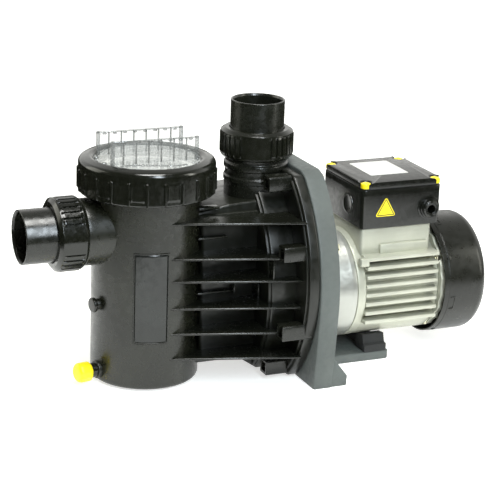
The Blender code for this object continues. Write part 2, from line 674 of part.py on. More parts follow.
def impeller():
    """The closed impeller: hub and back shroud, front shroud with its eye ring, and the vanes between."""
    eye_r = EYE_BORE_R - 0.8 * MM
    bore_r = SHAFT_R + GAP
    eye_x = FRONT_SHROUD_X - 5 * MM
    back = turned('back', [
        (bore_r, BACK_SHROUD_X + SHROUD), (IMPELLER_R, BACK_SHROUD_X + SHROUD), (IMPELLER_R, BACK_SHROUD_X),
        (SHAFT_R + 8 * MM, BACK_SHROUD_X), (SHAFT_R + 5 * MM, FRONT_SHROUD_X), (bore_r, FRONT_SHROUD_X)],
        ROUND)
    front = turned('front', [
        (eye_r - 3 * MM, FRONT_SHROUD_X), (IMPELLER_R, FRONT_SHROUD_X), (IMPELLER_R, FRONT_SHROUD_X - SHROUD),
        (eye_r, FRONT_SHROUD_X - SHROUD), (eye_r, eye_x), (eye_r - 3 * MM, eye_x)], ROUND)
    vanes = around(lambda _: vane(eye_r - 6 * MM, IMPELLER_R - 1 * MM, math.radians(-70),
                                  FRONT_SHROUD_X - 1 * MM, BACK_SHROUD_X + 1 * MM, 3 * MM), IMPELLER_VANES)
    finished(joined(back, vanes, front), 'impeller', GREY_PLASTIC, (0, 0, SHAFT_Z), ALONG_X)
    nut_high = FRONT_SHROUD_X - GAP
    nut = prism('nut', circle(10 * MM, 6), nut_high - 8 * MM, nut_high)
    bore = rod('bore', SHAFT_R + GAP, nut_high - 5 * MM, nut_high + 1 * MM, SMALL_ROUND)
    finished(cut(nut, bore), 'impeller_nut', STEEL, (0, 0, SHAFT_Z), ALONG_X)


def diffuser():
    """The fixed ring of guide vanes round the impeller, on a front plate."""
    low = DRUM_FRONT_X + 0.6 * MM
    high = low + 2 * MM
    outer = CHAMBER_R - 4 * MM
    plate = tube('plate', EYE_BORE_R + 5 * MM, outer, low, high, ROUND)
    vanes = around(lambda _: vane(IMPELLER_R + 3 * MM, outer - 0.5 * MM, math.radians(32),
                                  high - 0.5 * MM, PLATE_X - 1 * MM, 3 * MM), DIFFUSER_VANES)
    finished(joined(plate, vanes), 'diffuser', GREY_PLASTIC, (0, 0, SHAFT_Z), ALONG_X)


# ------------------------------------------------------------------ flange plate
def flange_plate_outline():
    """The plate seen along the shaft: arched top, flat crown, sides that run down to the foot."""
    centre = PLATE_ARC_R - PLATE_HALF
    first = math.radians(-5)
    last = math.asin((PLATE_HIGH_Z - PLATE_MID_Z) / PLATE_ARC_R)
    side = [(FOOT_HALF, 0.0), (PLATE_HALF - 5 * MM, 45 * MM)]
    steps = 12
    for step in range(steps + 1):
        angle = first + (last - first) * step / steps
        side.append((PLATE_ARC_R * math.cos(angle) - centre, PLATE_MID_Z + PLATE_ARC_R * math.sin(angle)))
    side[-1] = (side[-1][0] - 8 * MM, PLATE_HIGH_Z)
    return side + [(-y, z) for y, z in reversed(side)]


def flange_plate():
    """The dark plate between pump and motor, hollowed behind its rim, with foot and motor bar."""
    outline = flange_plate_outline()
    plate = prism('plate', outline, PLATE_FRONT_X, PLATE_BACK_X, 'X')
    middle = Vector((0.0, 120 * MM))
    shrunk = []
    for point in outline:
        arm = Vector(point) - middle
        shrunk.append(tuple(middle + arm * (1 - PLATE_RIM / arm.length)))
    pocket = prism('pocket', [(y, max(z, FOOT_THICK + 6 * MM)) for y, z in shrunk],
                   PLATE_FRONT_X + PLATE_WEB, PLATE_BACK_X + 1 * MM, 'X')
    low = PLATE_FRONT_X + PLATE_WEB - 1 * MM
    high = PLATE_BACK_X + 2 * MM
    keep = [moved(rod('hub', HUB_R, low, high, ROUND), SHAFT_PLACE)]
    for y, z in bolt_sites():
        keep.append(prism('boss', circle(9 * MM, 10, (y, z)), low, high, 'X'))
    for y in (-40 * MM, 0.0, 40 * MM):
        keep.append(block('web', (low, y - 2 * MM, 10 * MM), (high, y + 2 * MM, 245 * MM)))
    cut(pocket, *keep)
    foot = block('foot', (PLATE_FRONT_X, -FOOT_HALF, 0), (FOOT_BACK_X, FOOT_HALF, FOOT_THICK))
    bar = prism('bar', rounded(rectangle(BAR_END_X / 2, BAR_HALF, (BAR_END_X / 2, 0)), 6 * MM), 0, BAR_THICK)
    gusset = [(PLATE_BACK_X - 1 * MM, GUSSET_HIGH_Z), (PLATE_BACK_X - 1 * MM, FOOT_THICK - 1 * MM),
              (FOOT_BACK_X, FOOT_THICK - 1 * MM), (FOOT_BACK_X, FOOT_THICK + 1 * MM),
              (PLATE_BACK_X + 3 * MM, GUSSET_HIGH_Z)]
    width = 8 * MM
    sides = [prism('gusset', gusset, y, y + width, 'Y') for y in (-FOOT_HALF, FOOT_HALF - width)]
    cut(plate, pocket)
    joined(plate, foot, bar, *sides)
    holes = [moved(rod('bore', 24 * MM, -0.1, 0.1, ROUND), SHAFT_PLACE)]
    for y, z in bolt_sites():
        holes.append(prism('hole', circle(BOLT_R + GAP, 8, (y, z)), -0.1, 0.1, 'X'))
        holes.append(prism('spanner', circle(HEAD_R + 1.2 * MM, 12, (y, z)), PLATE_BACK_X, 0.1, 'X'))
    anchor_x = (PLATE_BACK_X + FOOT_BACK_X) / 2 + 1 * MM
    for side in (-1, 1):
        holes.append(prism('anchor', circle(ANCHOR_R, 16, (anchor_x, side * ANCHOR_Y)), -0.01, 0.03))
    cut(plate, *holes)
    finished(plate, 'flange_plate', DARK_GREY)


def casing_bolts():
    """The eight bolts that clamp the casing to the plate, their heads on the motor's side."""
    head_x = PLATE_BACK_X + GAP
    outline = circle(HEAD_R, 6, phase=math.radians(30))
    names = ['near', 'far']
    for index, (y, z) in enumerate(bolt_sites()):
        bolt = prism('bolt', outline, head_x, head_x + 6 * MM)
        stem = rod('stem', BOLT_R, BOSS_FRONT_X + 10 * MM, PLATE_BACK_X + 2 * MM, 8)
        name = f'casing_bolt_{names[index // len(BOLT_PLACES)]}_{index % len(BOLT_PLACES) + 1}'
        finished(joined(bolt, stem), name, ZINC, (0, y, z), ALONG_X)


# ------------------------------------------------------------------ motor
def fin_section():
    """The housing's section in Y and Z: a smooth belly, flat-ended fins on both sides, a round back."""
    belly_r = MOTOR_R - 0.6 * MM
    pitch = (FIN_HIGH_Z - FIN_LOW_Z) / (FIN_COUNT - 1)
    half = FIN_THICK / 2
    last = math.asin((FIN_LOW_Z - half - SHAFT_Z) / belly_r)
    steps = 8
    angles = [-math.pi / 2 + (last + math.pi / 2) * step / steps for step in range(1, steps + 1)]
    side = [(belly_r * math.cos(a), SHAFT_Z + belly_r * math.sin(a)) for a in angles]
    for index in range(FIN_COUNT):
        middle = FIN_LOW_Z + index * pitch
        for z, outwards in ((middle - half, True), (middle + half, False)):
            root = (math.sqrt(HOUSING_ROOT_R ** 2 - (z - SHAFT_Z) ** 2), z)
            tip = (FIN_HALF, z)
            side += [root, tip] if outwards else [tip, root]
    first = math.asin((FIN_HIGH_Z + half - SHAFT_Z) / HOUSING_ROOT_R)
    angles = [first + (math.pi / 2 - first) * step / steps for step in range(1, steps)]
    side += [(HOUSING_ROOT_R * math.cos(a), SHAFT_Z + HOUSING_ROOT_R * math.sin(a)) for a in angles]
    crown = (0.0, SHAFT_Z + HOUSING_ROOT_R)
    keel = (0.0, SHAFT_Z - belly_r)
    return [keel] + side + [crown] + [(-y, z) for y, z in reversed(side)]


def motor_housing():
    """The stator housing: a finned tube with a plain collar in front and a pedestal for the terminal box."""
    made = prism('fins', fin_section(), FIN_FRONT_X - 1 * MM, FIN_BACK_X, 'X')
    collar = moved(rod('collar', MOTOR_R, SHIELD_BACK_X + GAP, FIN_FRONT_X, ROUND), SHAFT_PLACE)
    back = rod('back', HOUSING_ROOT_R - 0.4 * MM, FIN_BACK_X - 3 * MM, HOUSING_BACK_X, ROUND)
    moved(back, SHAFT_PLACE)
    low_x, high_x, half = PEDESTAL
    foot = rounded(rectangle((high_x - low_x) / 2, half, ((high_x + low_x) / 2, 0)), 4 * MM)
    pedestal = prism('pedestal', foot, FIN_HIGH_Z - 3 * MM, BOX_LOW_Z - GAP)
    joined(made, collar, back, pedestal)
    bore = moved(rod('bore', HOUSING_BORE_R, -0.01, 0.3, ROUND), SHAFT_PLACE)
    wires = rod('wires', 14 * MM, SHAFT_Z, 0.3, SMALL_ROUND)
    cut(made, bore, moved(wires, Matrix.Translation(((low_x + high_x) / 2, 0, 0))))
    finished(made, 'motor_housing', ALUMINIUM)


def end_shields():
    """The cone-shaped front shield and the flat rear one, each with a hub that holds its bearing."""
    x, _, outer, width = FRONT_BEARING
    wall = 4 * MM
    seat = outer + GAP
    hub = seat + 5 * MM
    front = PLATE_BACK_X + GAP
    shield = turned('shield', [
        (seat, x + width + 2 * MM), (hub, x + width + 2 * MM), (hub, front + 6 * MM),
        (SHIELD_FRONT_R - wall, front + 6 * MM), (MOTOR_R - wall, SHIELD_BACK_X), (MOTOR_R, SHIELD_BACK_X),
        (SHIELD_FRONT_R, front), (SHAFT_R + 6 * MM, front), (SHAFT_R + 6 * MM, x - GAP), (seat, x - GAP)],
        ROUND)
    finished(shield, 'front_shield', ALUMINIUM, (0, 0, SHAFT_Z), ALONG_X)

    x, _, outer, width = REAR_BEARING
    seat = outer + GAP
    hub = seat + 5 * MM
    start = HOUSING_BACK_X + GAP
    rear = turned('shield', [
        (hub, x - 2 * MM), (hub, start), (MOTOR_R, start), (MOTOR_R, x + width + 3 * MM),
        (SHAFT_R + 4 * MM, x + width + 3 * MM), (SHAFT_R + 4 * MM, x + width + GAP),
        (seat, x + width + GAP), (seat, x - 2 * MM)], ROUND)
    finished(rear, 'rear_shield', ALUMINIUM, (0, 0, SHAFT_Z), ALONG_X)


def ball_bearing(side, sizes):
    """A bearing's inner ring, outer ring, and the cage with its balls."""
    x, bore, outer, width = sizes
    ring = (outer - bore) * 0.27
    for name, low_r, high_r in (('inner', bore + GAP, bore + ring), ('outer', outer - ring, outer - GAP)):
        made = tube(name, low_r, high_r, x, x + width, SMALL_ROUND)
        finished(made, f'{side}_bearing_{name}', STEEL, (0, 0, SHAFT_Z), ALONG_X)
    pitch_r = (outer + bore) / 2
    ball_r = (outer - bore) / 2 - ring - GAP
    middle = x + width / 2
    cage = tube('cage', pitch_r - 1 * MM, pitch_r + 1 * MM, middle - 1.5 * MM, middle + 1.5 * MM, SMALL_ROUND)

    def ball(_):
        bm = bmesh.new()
        bmesh.ops.create_icosphere(bm, subdivisions=1, radius=ball_r,
                                   matrix=Matrix.Translation((pitch_r, 0, middle)))
        return new_object('ball', bm)

    joined(cage, around(ball, BEARING_BALLS))
    finished(cage, f'{side}_bearing_cage', STEEL, (0, 0, SHAFT_Z), ALONG_X)


def rotor():
    """The stepped shaft, the rotor core with its end rings, and the slinger that keeps water out."""
    front_x, front_r, _, front_width = FRONT_BEARING
    rear_x, rear_r, _, rear_width = REAR_BEARING
    core_r = 13 * MM
    end = FAN_X + FAN_WIDTH - 2 * MM
    tip = FRONT_SHROUD_X - 4.5 * MM
    shoulder = front_x + front_width + 1 * MM
    shaft = turned('shaft', [
        (0, end), (rear_r, end), (rear_r, rear_x - 1 * MM), (core_r, rear_x - 1 * MM),
        (core_r, shoulder), (front_r, shoulder), (front_r, front_x - 2 * MM),
        (SHAFT_R, front_x - 2 * MM), (SHAFT_R, tip), (0, tip)], SMALL_ROUND)
    finished(shaft, 'motor_shaft', STEEL, (0, 0, SHAFT_Z), ALONG_X)
    ring_r = ROTOR_R - 4 * MM
    bore_r = core_r + GAP
    back, front = CORE_BACK_X + 8 * MM, CORE_FRONT_X - 8 * MM
    core = turned('core', [
        (bore_r, back), (ring_r, back), (ring_r, CORE_BACK_X), (ROTOR_R, CORE_BACK_X),
        (ROTOR_R, CORE_FRONT_X), (ring_r, CORE_FRONT_X), (ring_r, front), (bore_r, front)], ROUND)
    finished(core, 'rotor_core', STEEL, (0, 0, SHAFT_Z), ALONG_X)
    slinger_x = PLATE_FRONT_X + 8 * MM
    slinger = tube('slinger', SHAFT_R + GAP, 16 * MM, slinger_x, slinger_x + 3 * MM, SMALL_ROUND)
    finished(slinger, 'water_slinger', RUBBER, (0, 0, SHAFT_Z), ALONG_X)


def stator():
    """The stator core and the winding heads that stand out of both its ends."""
    outer = HOUSING_BORE_R - GAP
    core = tube('core', STATOR_BORE_R, outer, CORE_FRONT_X, CORE_BACK_X, ROUND)
    finished(core, 'stator_core', STEEL, (0, 0, SHAFT_Z), ALONG_X)
    low_r, high_r = STATOR_BORE_R + 3 * MM, outer - 3 * MM
    edge = 4 * MM
    starts = {'front_winding': CORE_FRONT_X - GAP - WINDING_LENGTH, 'rear_winding': CORE_BACK_X + GAP}
    for name, low in starts.items():
        high = low + WINDING_LENGTH
        section = rounded([(low_r, high), (high_r, high), (high_r, low), (low_r, low)], edge, 1)
        ring = turned('ring', section, SMALL_ROUND)
        finished(ring, name, COPPER, (0, 0, SHAFT_Z), ALONG_X)


def cooling_fan():
    """The fan on the shaft's rear end: hub, back plate and straight blades."""
    _, rear_r, _, _ = REAR_BEARING
    hub_r = rear_r + 6 * MM
    hub = tube('hub', rear_r + GAP, hub_r, FAN_X, FAN_X + FAN_WIDTH - 3 * MM, SMALL_ROUND)
    plate = tube('plate', hub_r - 1 * MM, FAN_R - 12 * MM, FAN_X, FAN_X + 2.5 * MM, ROUND)
    blade = [(hub_r - 1 * MM, -1.2 * MM), (FAN_R, -1.2 * MM), (FAN_R, 1.2 * MM), (hub_r - 1 * MM, 1.2 * MM)]
    blades = around(lambda _: prism('blade', blade, FAN_X + 1 * MM, FAN_X + FAN_WIDTH - 4 * MM), FAN_BLADES)
    finished(joined(hub, plate, blades), 'cooling_fan', BLACK_PLASTIC, (0, 0, SHAFT_Z), ALONG_X)


def fan_cowl():
    """The round-edged cowl over the fan, with radial air slots in its end."""
    def outer(radius, back, round_r):
        return [(radius - round_r * (1 - math.sin(a)), back - round_r * (1 - math.cos(a)))
                for a in (math.radians(step * 30) for step in range(4))]

    inner_r = COWL_R - COWL_WALL
    skin = outer(COWL_R, COWL_BACK_X, COWL_ROUND)
    inside = outer(inner_r, COWL_BACK_X - COWL_WALL, COWL_ROUND - COWL_WALL)
    cowl = turned('cowl', [(0, COWL_BACK_X)] + skin + [(COWL_R, COWL_FRONT_X), (inner_r, COWL_FRONT_X)]
                  + inside[::-1] + [(0, COWL_BACK_X - COWL_WALL)], ROUND)
    slot_low = (18 * MM, -2.4 * MM, COWL_BACK_X - 5 * MM)
    slot_high = (56 * MM, 2.4 * MM, COWL_BACK_X + 5 * MM)
    slots = around(lambda _: block('slot', slot_low, slot_high), COWL_SLOTS)
    finished(cut(cowl, slots), 'fan_cowl', BLACK_PLASTIC, (0, 0, SHAFT_Z), ALONG_X)


def motor_support():
    """The rubber block that carries the motor on the foot bar."""
    low_x, high_x, half, top = SUPPORT
    outline = [(-half, BAR_THICK + GAP), (half, BAR_THICK + GAP), (half, top), (half - 8 * MM, top + 3 * MM),
               (-half + 8 * MM, top + 3 * MM), (-half, top)]
    support = prism('support', outline, low_x, high_x, 'X')
    cradle = moved(rod('cradle', MOTOR_R + GAP, 0, 0.2, ROUND), SHAFT_PLACE)
    finished(cut(support, cradle), 'motor_support', RUBBER)


# ------------------------------------------------------------------ terminal box
def box_corners():
    """The centres of the four corner screws."""
    low_x, high_x = BOX_X
    inset = BOX_CORNER
    return [(x, y) for y in (-BOX_HALF + inset, BOX_HALF - inset) for x in (low_x + inset, high_x - inset)]


def terminal_box():
    """The open-topped box on the pedestal, with corner posts for the lid's screws."""
    low_x, high_x = BOX_X
    middle = ((low_x + high_x) / 2, 0)
    half_x = (high_x - low_x) / 2
    top = BOX_HIGH_Z - GAP
    box = prism('box', rounded(rectangle(half_x, BOX_HALF, middle), BOX_CORNER), BOX_LOW_Z, top)
    inner = rounded(rectangle(half_x - BOX_WALL, BOX_HALF - BOX_WALL, middle), BOX_CORNER - BOX_WALL)
    hollow = prism('hollow', inner, BOX_LOW_Z + BOX_WALL, top + 0.01)
    posts = [prism('post', circle(5.5 * MM, 16, place), BOX_LOW_Z, top + 0.02) for place in box_corners()]
    cut(box, cut(hollow, *posts))
    holes = []
    for place in box_corners():
        outline = circle(SCREW_STEM_R + GAP, SMALL_ROUND, place)
        holes.append(prism('hole', outline, top - SCREW_STEM, top + 0.01))
    holes.append(prism('wires', circle(12 * MM, 24, middle), BOX_LOW_Z - 0.01, BOX_LOW_Z + 0.01))
    gland = circle(GLAND_STEM_R + GAP, 24, (GLAND_X, GLAND_Z))
    holes.append(prism('gland', gland, -BOX_HALF - 0.01, -BOX_HALF + 0.01, 'Y'))
    cut(box, *holes)
    finished(box, 'terminal_box', GLOSS_BLACK)


def terminal_lid():
    """The lid with its soft-edged top, notched at each corner for a screw cap, and the gasket under it."""
    low_x, high_x = BOX_X
    middle = ((low_x + high_x) / 2, 0)
    half_x = (high_x - low_x) / 2
    low = BOX_HIGH_Z + GASKET_THICK
    edge = 2.5 * MM
    lid = prism('lid', rounded(rectangle(half_x, BOX_HALF, middle), BOX_CORNER), low, LID_HIGH_Z - edge)
    inset = edge * 0.6
    raised = rounded(rectangle(half_x - inset, BOX_HALF - inset, middle), BOX_CORNER - inset)
    upper = prism('upper', raised, LID_HIGH_Z - edge - 0.5 * MM, LID_HIGH_Z)
    notches = []
    for x, y in box_corners():
        outline = circle(SCREW_R + GAP, SMALL_ROUND, (x, y))
        notches.append(prism('notch', outline, low - 0.01, LID_HIGH_Z + 0.01))
        reach_x, reach_y = math.copysign(0.02, x - middle[0]), math.copysign(0.02, y)
        notches.append(block('corner', (min(x, x + reach_x), min(y, y + reach_y), low - 0.02),
                             (max(x, x + reach_x), max(y, y + reach_y), LID_HIGH_Z + 0.02)))
    cut(joined(lid, upper), *notches)
    finished(lid, 'terminal_lid', GLOSS_BLACK)
    stem_end = BOX_HIGH_Z - SCREW_STEM + 1 * MM
    for index, place in enumerate(box_corners()):
        cap = turned('cap', [
            (0, LID_HIGH_Z), (SCREW_R - 1.5 * MM, LID_HIGH_Z), (SCREW_R, LID_HIGH_Z - 1.5 * MM),
            (SCREW_R, low + GAP), (SCREW_STEM_R, low + GAP), (SCREW_STEM_R, stem_end), (0, stem_end)],
            SMALL_ROUND)
        finished(cap, f'lid_screw_{index + 1}', YELLOW, (*place, 0))
    margin = 1 * MM
    outside = rounded(rectangle(half_x - margin, BOX_HALF - margin, middle), BOX_CORNER - margin)
    ring = prism('gasket', outside, BOX_HIGH_Z, low - GAP)
    margin += BOX_WALL
    hole = prism('hole', rounded(rectangle(half_x - margin, BOX_HALF - margin, middle), 2 * MM),
                 BOX_HIGH_Z - 0.01, low + 0.01)
    stems, keep = [], []
    for place in box_corners():
        stem = circle(SCREW_STEM_R + GAP, SMALL_ROUND, place)
        stems.append(prism('stem', stem, BOX_HIGH_Z - 0.01, low + 0.01))
        keep.append(prism('keep', circle(4.5 * MM, 14, place), BOX_HIGH_Z - 0.02, low + 0.02))
    cut(ring, cut(hole, *keep), *stems)
    finished(ring, 'terminal_gasket', RUBBER)


def box_contents():
    """The run capacitor, the terminal block and the cable gland with no cable in it."""
    floor = BOX_LOW_Z + BOX_WALL + GAP
    capacitor_r = 16 * MM
    capacitor = rod('capacitor', capacitor_r, 80 * MM, 138 * MM, SMALL_ROUND)
    finished(capacitor, 'run_capacitor', GREY_PLASTIC, (0, 30 * MM, floor + capacitor_r), ALONG_X)
    terminals = block('block', (84 * MM, -40 * MM, floor), (124 * MM, -18 * MM, floor + 14 * MM))
    studs = [block('stud', (x - 3 * MM, -33 * MM, floor + 13 * MM), (x + 3 * MM, -25 * MM, floor + 20 * MM))
             for x in (91 * MM, 104 * MM, 117 * MM)]
    finished(joined(terminals, *studs), 'terminal_block', GREY_PLASTIC)
    gland = turned('gland', [
        (5 * MM, 9 * MM), (GLAND_R - 4 * MM, 9 * MM), (GLAND_R - 2.5 * MM, 6 * MM), (GLAND_R, 5 * MM),
        (GLAND_R, GAP),
        (GLAND_STEM_R, GAP), (GLAND_STEM_R, -9 * MM), (5 * MM, -9 * MM)], SMALL_ROUND)
    finished(gland, 'cable_gland', GLOSS_BLACK, (GLAND_X, -BOX_HALF, GLAND_Z), AGAINST_Y)


def main():
    """Every piece of the pump, in order from the tank to the terminal box."""
    for old in list(bpy.data.objects):
        bpy.data.objects.remove(old)
    pump_casing()
    union_set('suction', SUCTION_PLACE, SUCTION_END_X)
    union_set('discharge', DISCHARGE_PLACE, DISCHARGE_END_Z)
    tank_lid()
    lid_ring()
    strainer_basket()
    tank_plug('drain_plug', DRAIN_Z, DRAIN_R, DRAIN_LENGTH, DRAIN_STEM_R, YELLOW, 'drain_oring')
    tank_plug('side_plug', SIDE_PLUG_Z, SIDE_PLUG_R - 0.5 * MM, 5 * MM, SIDE_STEM_R, GLOSS_BLACK)
    seal_plate()
    shaft_seal()
    impeller()
    diffuser()
    flange_plate()
    casing_bolts()
    motor_housing()
    end_shields()
    ball_bearing('front', FRONT_BEARING)
    ball_bearing('rear', REAR_BEARING)
    rotor()
    stator()
    cooling_fan()
    fan_cowl()
    motor_support()
    terminal_box()
    terminal_lid()
    box_contents()


main()
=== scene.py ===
"""The looks of a pool pump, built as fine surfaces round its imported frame.

Metres, +Z up, +X from the suction side to the motor, as in the frame. Each sub-assembly is a class that
holds its sizes, builds its surfaces as numpy grids and dresses them with a procedural finish.
"""
from __future__ import annotations

import logging
import math
from dataclasses import dataclass, field
from enum import Enum
from typing import Callable, Iterable, Sequence

import bmesh
import bpy
import numpy as np
from mathutils import Matrix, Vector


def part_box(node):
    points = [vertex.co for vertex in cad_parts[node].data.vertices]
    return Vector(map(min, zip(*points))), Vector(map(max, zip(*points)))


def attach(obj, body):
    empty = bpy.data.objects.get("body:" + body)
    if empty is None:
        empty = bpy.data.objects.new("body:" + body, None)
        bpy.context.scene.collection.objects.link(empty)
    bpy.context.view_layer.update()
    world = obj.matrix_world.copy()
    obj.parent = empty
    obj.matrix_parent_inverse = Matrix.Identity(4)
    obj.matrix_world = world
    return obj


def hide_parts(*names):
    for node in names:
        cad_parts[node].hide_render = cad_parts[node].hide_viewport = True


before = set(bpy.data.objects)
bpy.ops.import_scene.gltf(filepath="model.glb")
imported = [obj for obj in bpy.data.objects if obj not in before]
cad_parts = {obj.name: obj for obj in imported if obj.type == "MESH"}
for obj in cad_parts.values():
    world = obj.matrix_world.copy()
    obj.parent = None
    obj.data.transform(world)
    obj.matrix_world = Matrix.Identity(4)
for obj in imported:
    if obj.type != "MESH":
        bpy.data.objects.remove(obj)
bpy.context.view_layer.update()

logging.basicConfig(level=logging.INFO, format="%(message)s")
log = logging.getLogger("pool_pump")

MM = 0.001
Array = np.ndarray
Point = Sequence[float]
FINE = 128  # steps round a large turned piece
MEDIUM = 64  # steps round a small one
SHAFT_Z = 90 * MM
PIPE_RADIUS = 31.5 * MM  # outside of both glue spigots
PIPE_BORE = 28.5 * MM
THREAD_RADIUS = 36 * MM  # outside thread of both ports
DRAIN_Z, SIDE_Z = 17 * MM, 97 * MM  # heights of the two plugs in the tank's wall


# ------------------------------------------------------------------ surfaces
@dataclass(frozen=True)
class Shell:
    """A closed surface, or several of them: points and the faces between them."""

    points: Array
    faces: list

    def moved(self, matrix: Array) -> Shell:
        """The shell carried by a 4 x 4 matrix."""
        return Shell(self.points @ matrix[:3, :3].T + matrix[:3, 3], self.faces)

    def shifted(self, *offset: float) -> Shell:
        """The shell moved by x, y and z."""
        return Shell(self.points + np.array(offset), self.faces)

    def mapped(self, rule: Callable[[Array], Array]) -> Shell:
        """The shell with its points carried through a rule for whole arrays."""
        return Shell(rule(self.points), self.faces)


class Toward(Enum):
    """The direction that a piece's own +Z is turned to."""

    UP = 0
    X = 1
    MINUS_X = 2
    MINUS_Y = 3

    def at(self, x: float = 0.0, y: float = 0.0, z: float = 0.0) -> Array:
        """The matrix that turns +Z this way and then moves the origin to a place.

        Args:
            x, y, z: The place.

        Returns:
            The 4 x 4 matrix.
        """
        turns = {
            Toward.UP: ((1, 0, 0), (0, 1, 0), (0, 0, 1)),
            Toward.X: ((0, 0, 1), (0, 1, 0), (-1, 0, 0)),
            Toward.MINUS_X: ((0, 0, -1), (0, 1, 0), (1, 0, 0)),
            Toward.MINUS_Y: ((1, 0, 0), (0, 0, -1), (0, 1, 0)),
        }
        made = np.eye(4)
        made[:3, :3] = turns[self]
        made[:3, 3] = (x, y, z)
        return made


def mm(*points: Point) -> Array:
    """Points given in millimetres, in metres."""
    return np.array(points, float) * MM


def about_z(angle: float) -> Array:
    """The matrix that turns by an angle about Z."""
    made = np.eye(4)
    made[:2, :2] = [[math.cos(angle), -math.sin(angle)], [math.sin(angle), math.cos(angle)]]
    return made


def gathered(shells: Iterable[Shell]) -> Shell:
    """Several shells as one.

    Args:
        shells: The shells, in order.

    Returns:
        One shell with all their points and faces.
    """
    points, faces, start = [], [], 0
    for shell in shells:
        points.append(shell.points)
        faces += [[corner + start for corner in face] for face in shell.faces]
        start += len(shell.points)
    return Shell(np.concatenate(points), faces)


def around(shell: Shell, count: int, phase: float = 0.0) -> Shell:
    """Equal copies of a shell set round Z, the first at the phase angle."""
    return gathered(shell.moved(about_z(phase + 2 * math.pi * k / count)) for k in range(count))


def quads(rows: int, columns: int, closed_rows: bool, closed_columns: bool) -> list:
    """The four-sided faces of a grid of points.

    Args:
        rows, columns: The grid's size.
        closed_rows: The last row joins the first.
        closed_columns: The last column joins the first.

    Returns:
        The corners of each face.
    """
    index = np.arange(rows * columns).reshape(rows, columns)
    if closed_rows:
        index = np.vstack([index, index[:1]])
    if closed_columns:
        index = np.hstack([index, index[:, :1]])
    corners = [index[:-1, :-1], index[:-1, 1:], index[1:, 1:], index[1:, :-1]]
    return np.stack(corners, -1).reshape(-1, 4).tolist()


def soften(points: Sequence[Point], radius: float | Sequence[float], steps: int = 4,
           closed: bool = True) -> Array:
    """An outline whose corners are arcs.

    Each arc starts and ends at radius / tan(half the corner) from the corner, and its arms run from the
    centre on the bisector by spherical interpolation. A radius shrinks to fit the shorter side.

    Args:
        points: The corners.
        radius: One radius, or one for each corner.
        steps: Faces in each arc.
        closed: The outline joins its own start. An open one keeps its two ends sharp.

    Returns:
        The points of the softened outline.
    """
    corner = np.array(points, float)
    radii = np.broadcast_to(np.array(radius, float), len(corner)).copy()
    if not closed:
        radii[[0, -1]] = 0.0
    before, after = np.roll(corner, 1, 0) - corner, np.roll(corner, -1, 0) - corner
    reach = np.minimum(np.linalg.norm(before, axis=1), np.linalg.norm(after, axis=1))
    before /= np.maximum(np.linalg.norm(before, axis=1), 1e-9)[:, None]
    after /= np.maximum(np.linalg.norm(after, axis=1), 1e-9)[:, None]
    half = np.arccos(np.clip((before * after).sum(1), -1, 1)) / 2
    half = np.clip(half, 1e-3, math.pi / 2 - 1e-4)
    radii = np.minimum(radii, 0.49 * reach * np.tan(half))
    middle = before + after
    middle /= np.maximum(np.linalg.norm(middle, axis=1), 1e-9)[:, None]
    centre = corner + middle * (radii / np.sin(half))[:, None]
    start = corner + before * (radii / np.tan(half))[:, None] - centre
    end = corner + after * (radii / np.tan(half))[:, None] - centre
    sweep = math.pi - 2 * half
    share = np.linspace(0, 1, steps + 1)[None, :, None]
    angle = sweep[:, None, None]
    arc = (np.sin((1 - share) * angle) * start[:,
                                               None] + np.sin(share * angle) * end[:, None]) / np.sin(angle)
    made = np.where(radii[:, None, None] > 0, centre[:, None] + arc, corner[:, None] + 0 * arc)
    made = made.reshape(-1, 2)
    keep = np.ones(len(made), bool)
    keep[1:] = np.linalg.norm(np.diff(made, axis=0), axis=1) > 1e-7
    return made[keep]


def inset(outline: Array, depth: float) -> Array:
    """A closed outline moved inwards: each corner goes along its bisector by depth / cos(half the turn)."""
    side = np.roll(outline, -1, 0) - outline
    side /= np.linalg.norm(side, axis=1)[:, None]
    area = (outline[:, 0] * np.roll(outline[:, 1], -1) - outline[:, 1] * np.roll(outline[:, 0], -1)).sum()
    inward = np.stack([-side[:, 1], side[:, 0]], 1) * math.copysign(1.0, area)
    mean = inward + np.roll(inward, 1, 0)
    mean /= np.linalg.norm(mean, axis=1)[:, None]
    stretch = np.maximum((mean * inward).sum(1), 0.3)
    return outline + mean * (depth / stretch)[:, None]


def turned(profile: Array | Sequence[Point], steps: int = FINE,
           swell: Callable[[Array, Array, Array], Array] | None = None) -> Shell:
    """A profile of (radius, height) turned round Z: x = r cos t, y = r sin t, z = height.

    Args:
        profile: The points. It closes on itself unless both its ends are on the axis.
        steps: Faces round the axis.
        swell: A rule that gives the radius to add, from the angle, radius and height of each point.

    Returns:
        The closed surface.
    """
    line = np.array(profile, float)
    open_ends = line[0, 0] < 1e-7 and line[-1, 0] < 1e-7
    angle = np.arange(steps) * 2 * math.pi / steps
    angle, radius = np.broadcast_arrays(angle[None, :], line[:, :1])
    height = np.broadcast_to(line[:, 1:], radius.shape)
    grown = radius + swell(angle, radius, height) if swell else radius
    points = np.stack([grown * np.cos(angle), grown * np.sin(angle), height], -1)
    return Shell(points.reshape(-1, 3), quads(len(line), steps, not open_ends, True))


def swept(outline: Array, profile: Sequence[Point], capped: bool) -> Shell:
    """A profile of (inset, height) carried round an outline in X and Y.

    Each profile point gives the whole outline, moved inwards by the inset and up to the height.

    Args:
        outline: The closed outline.
        profile: The profile's points.
        capped: The first and last outlines are closed by flat faces. Otherwise the profile closes on itself.

    Returns:
        The closed surface.
    """
    rows = [np.column_stack([inset(outline, depth), np.full(len(outline), height)])
            for depth, height in profile]
    count, width = len(rows), len(outline)
    faces = quads(count, width, not capped, True)
    if capped:
        faces += [list(range(width)), list(range((count - 1) * width, count * width))]
    return Shell(np.concatenate(rows), faces)


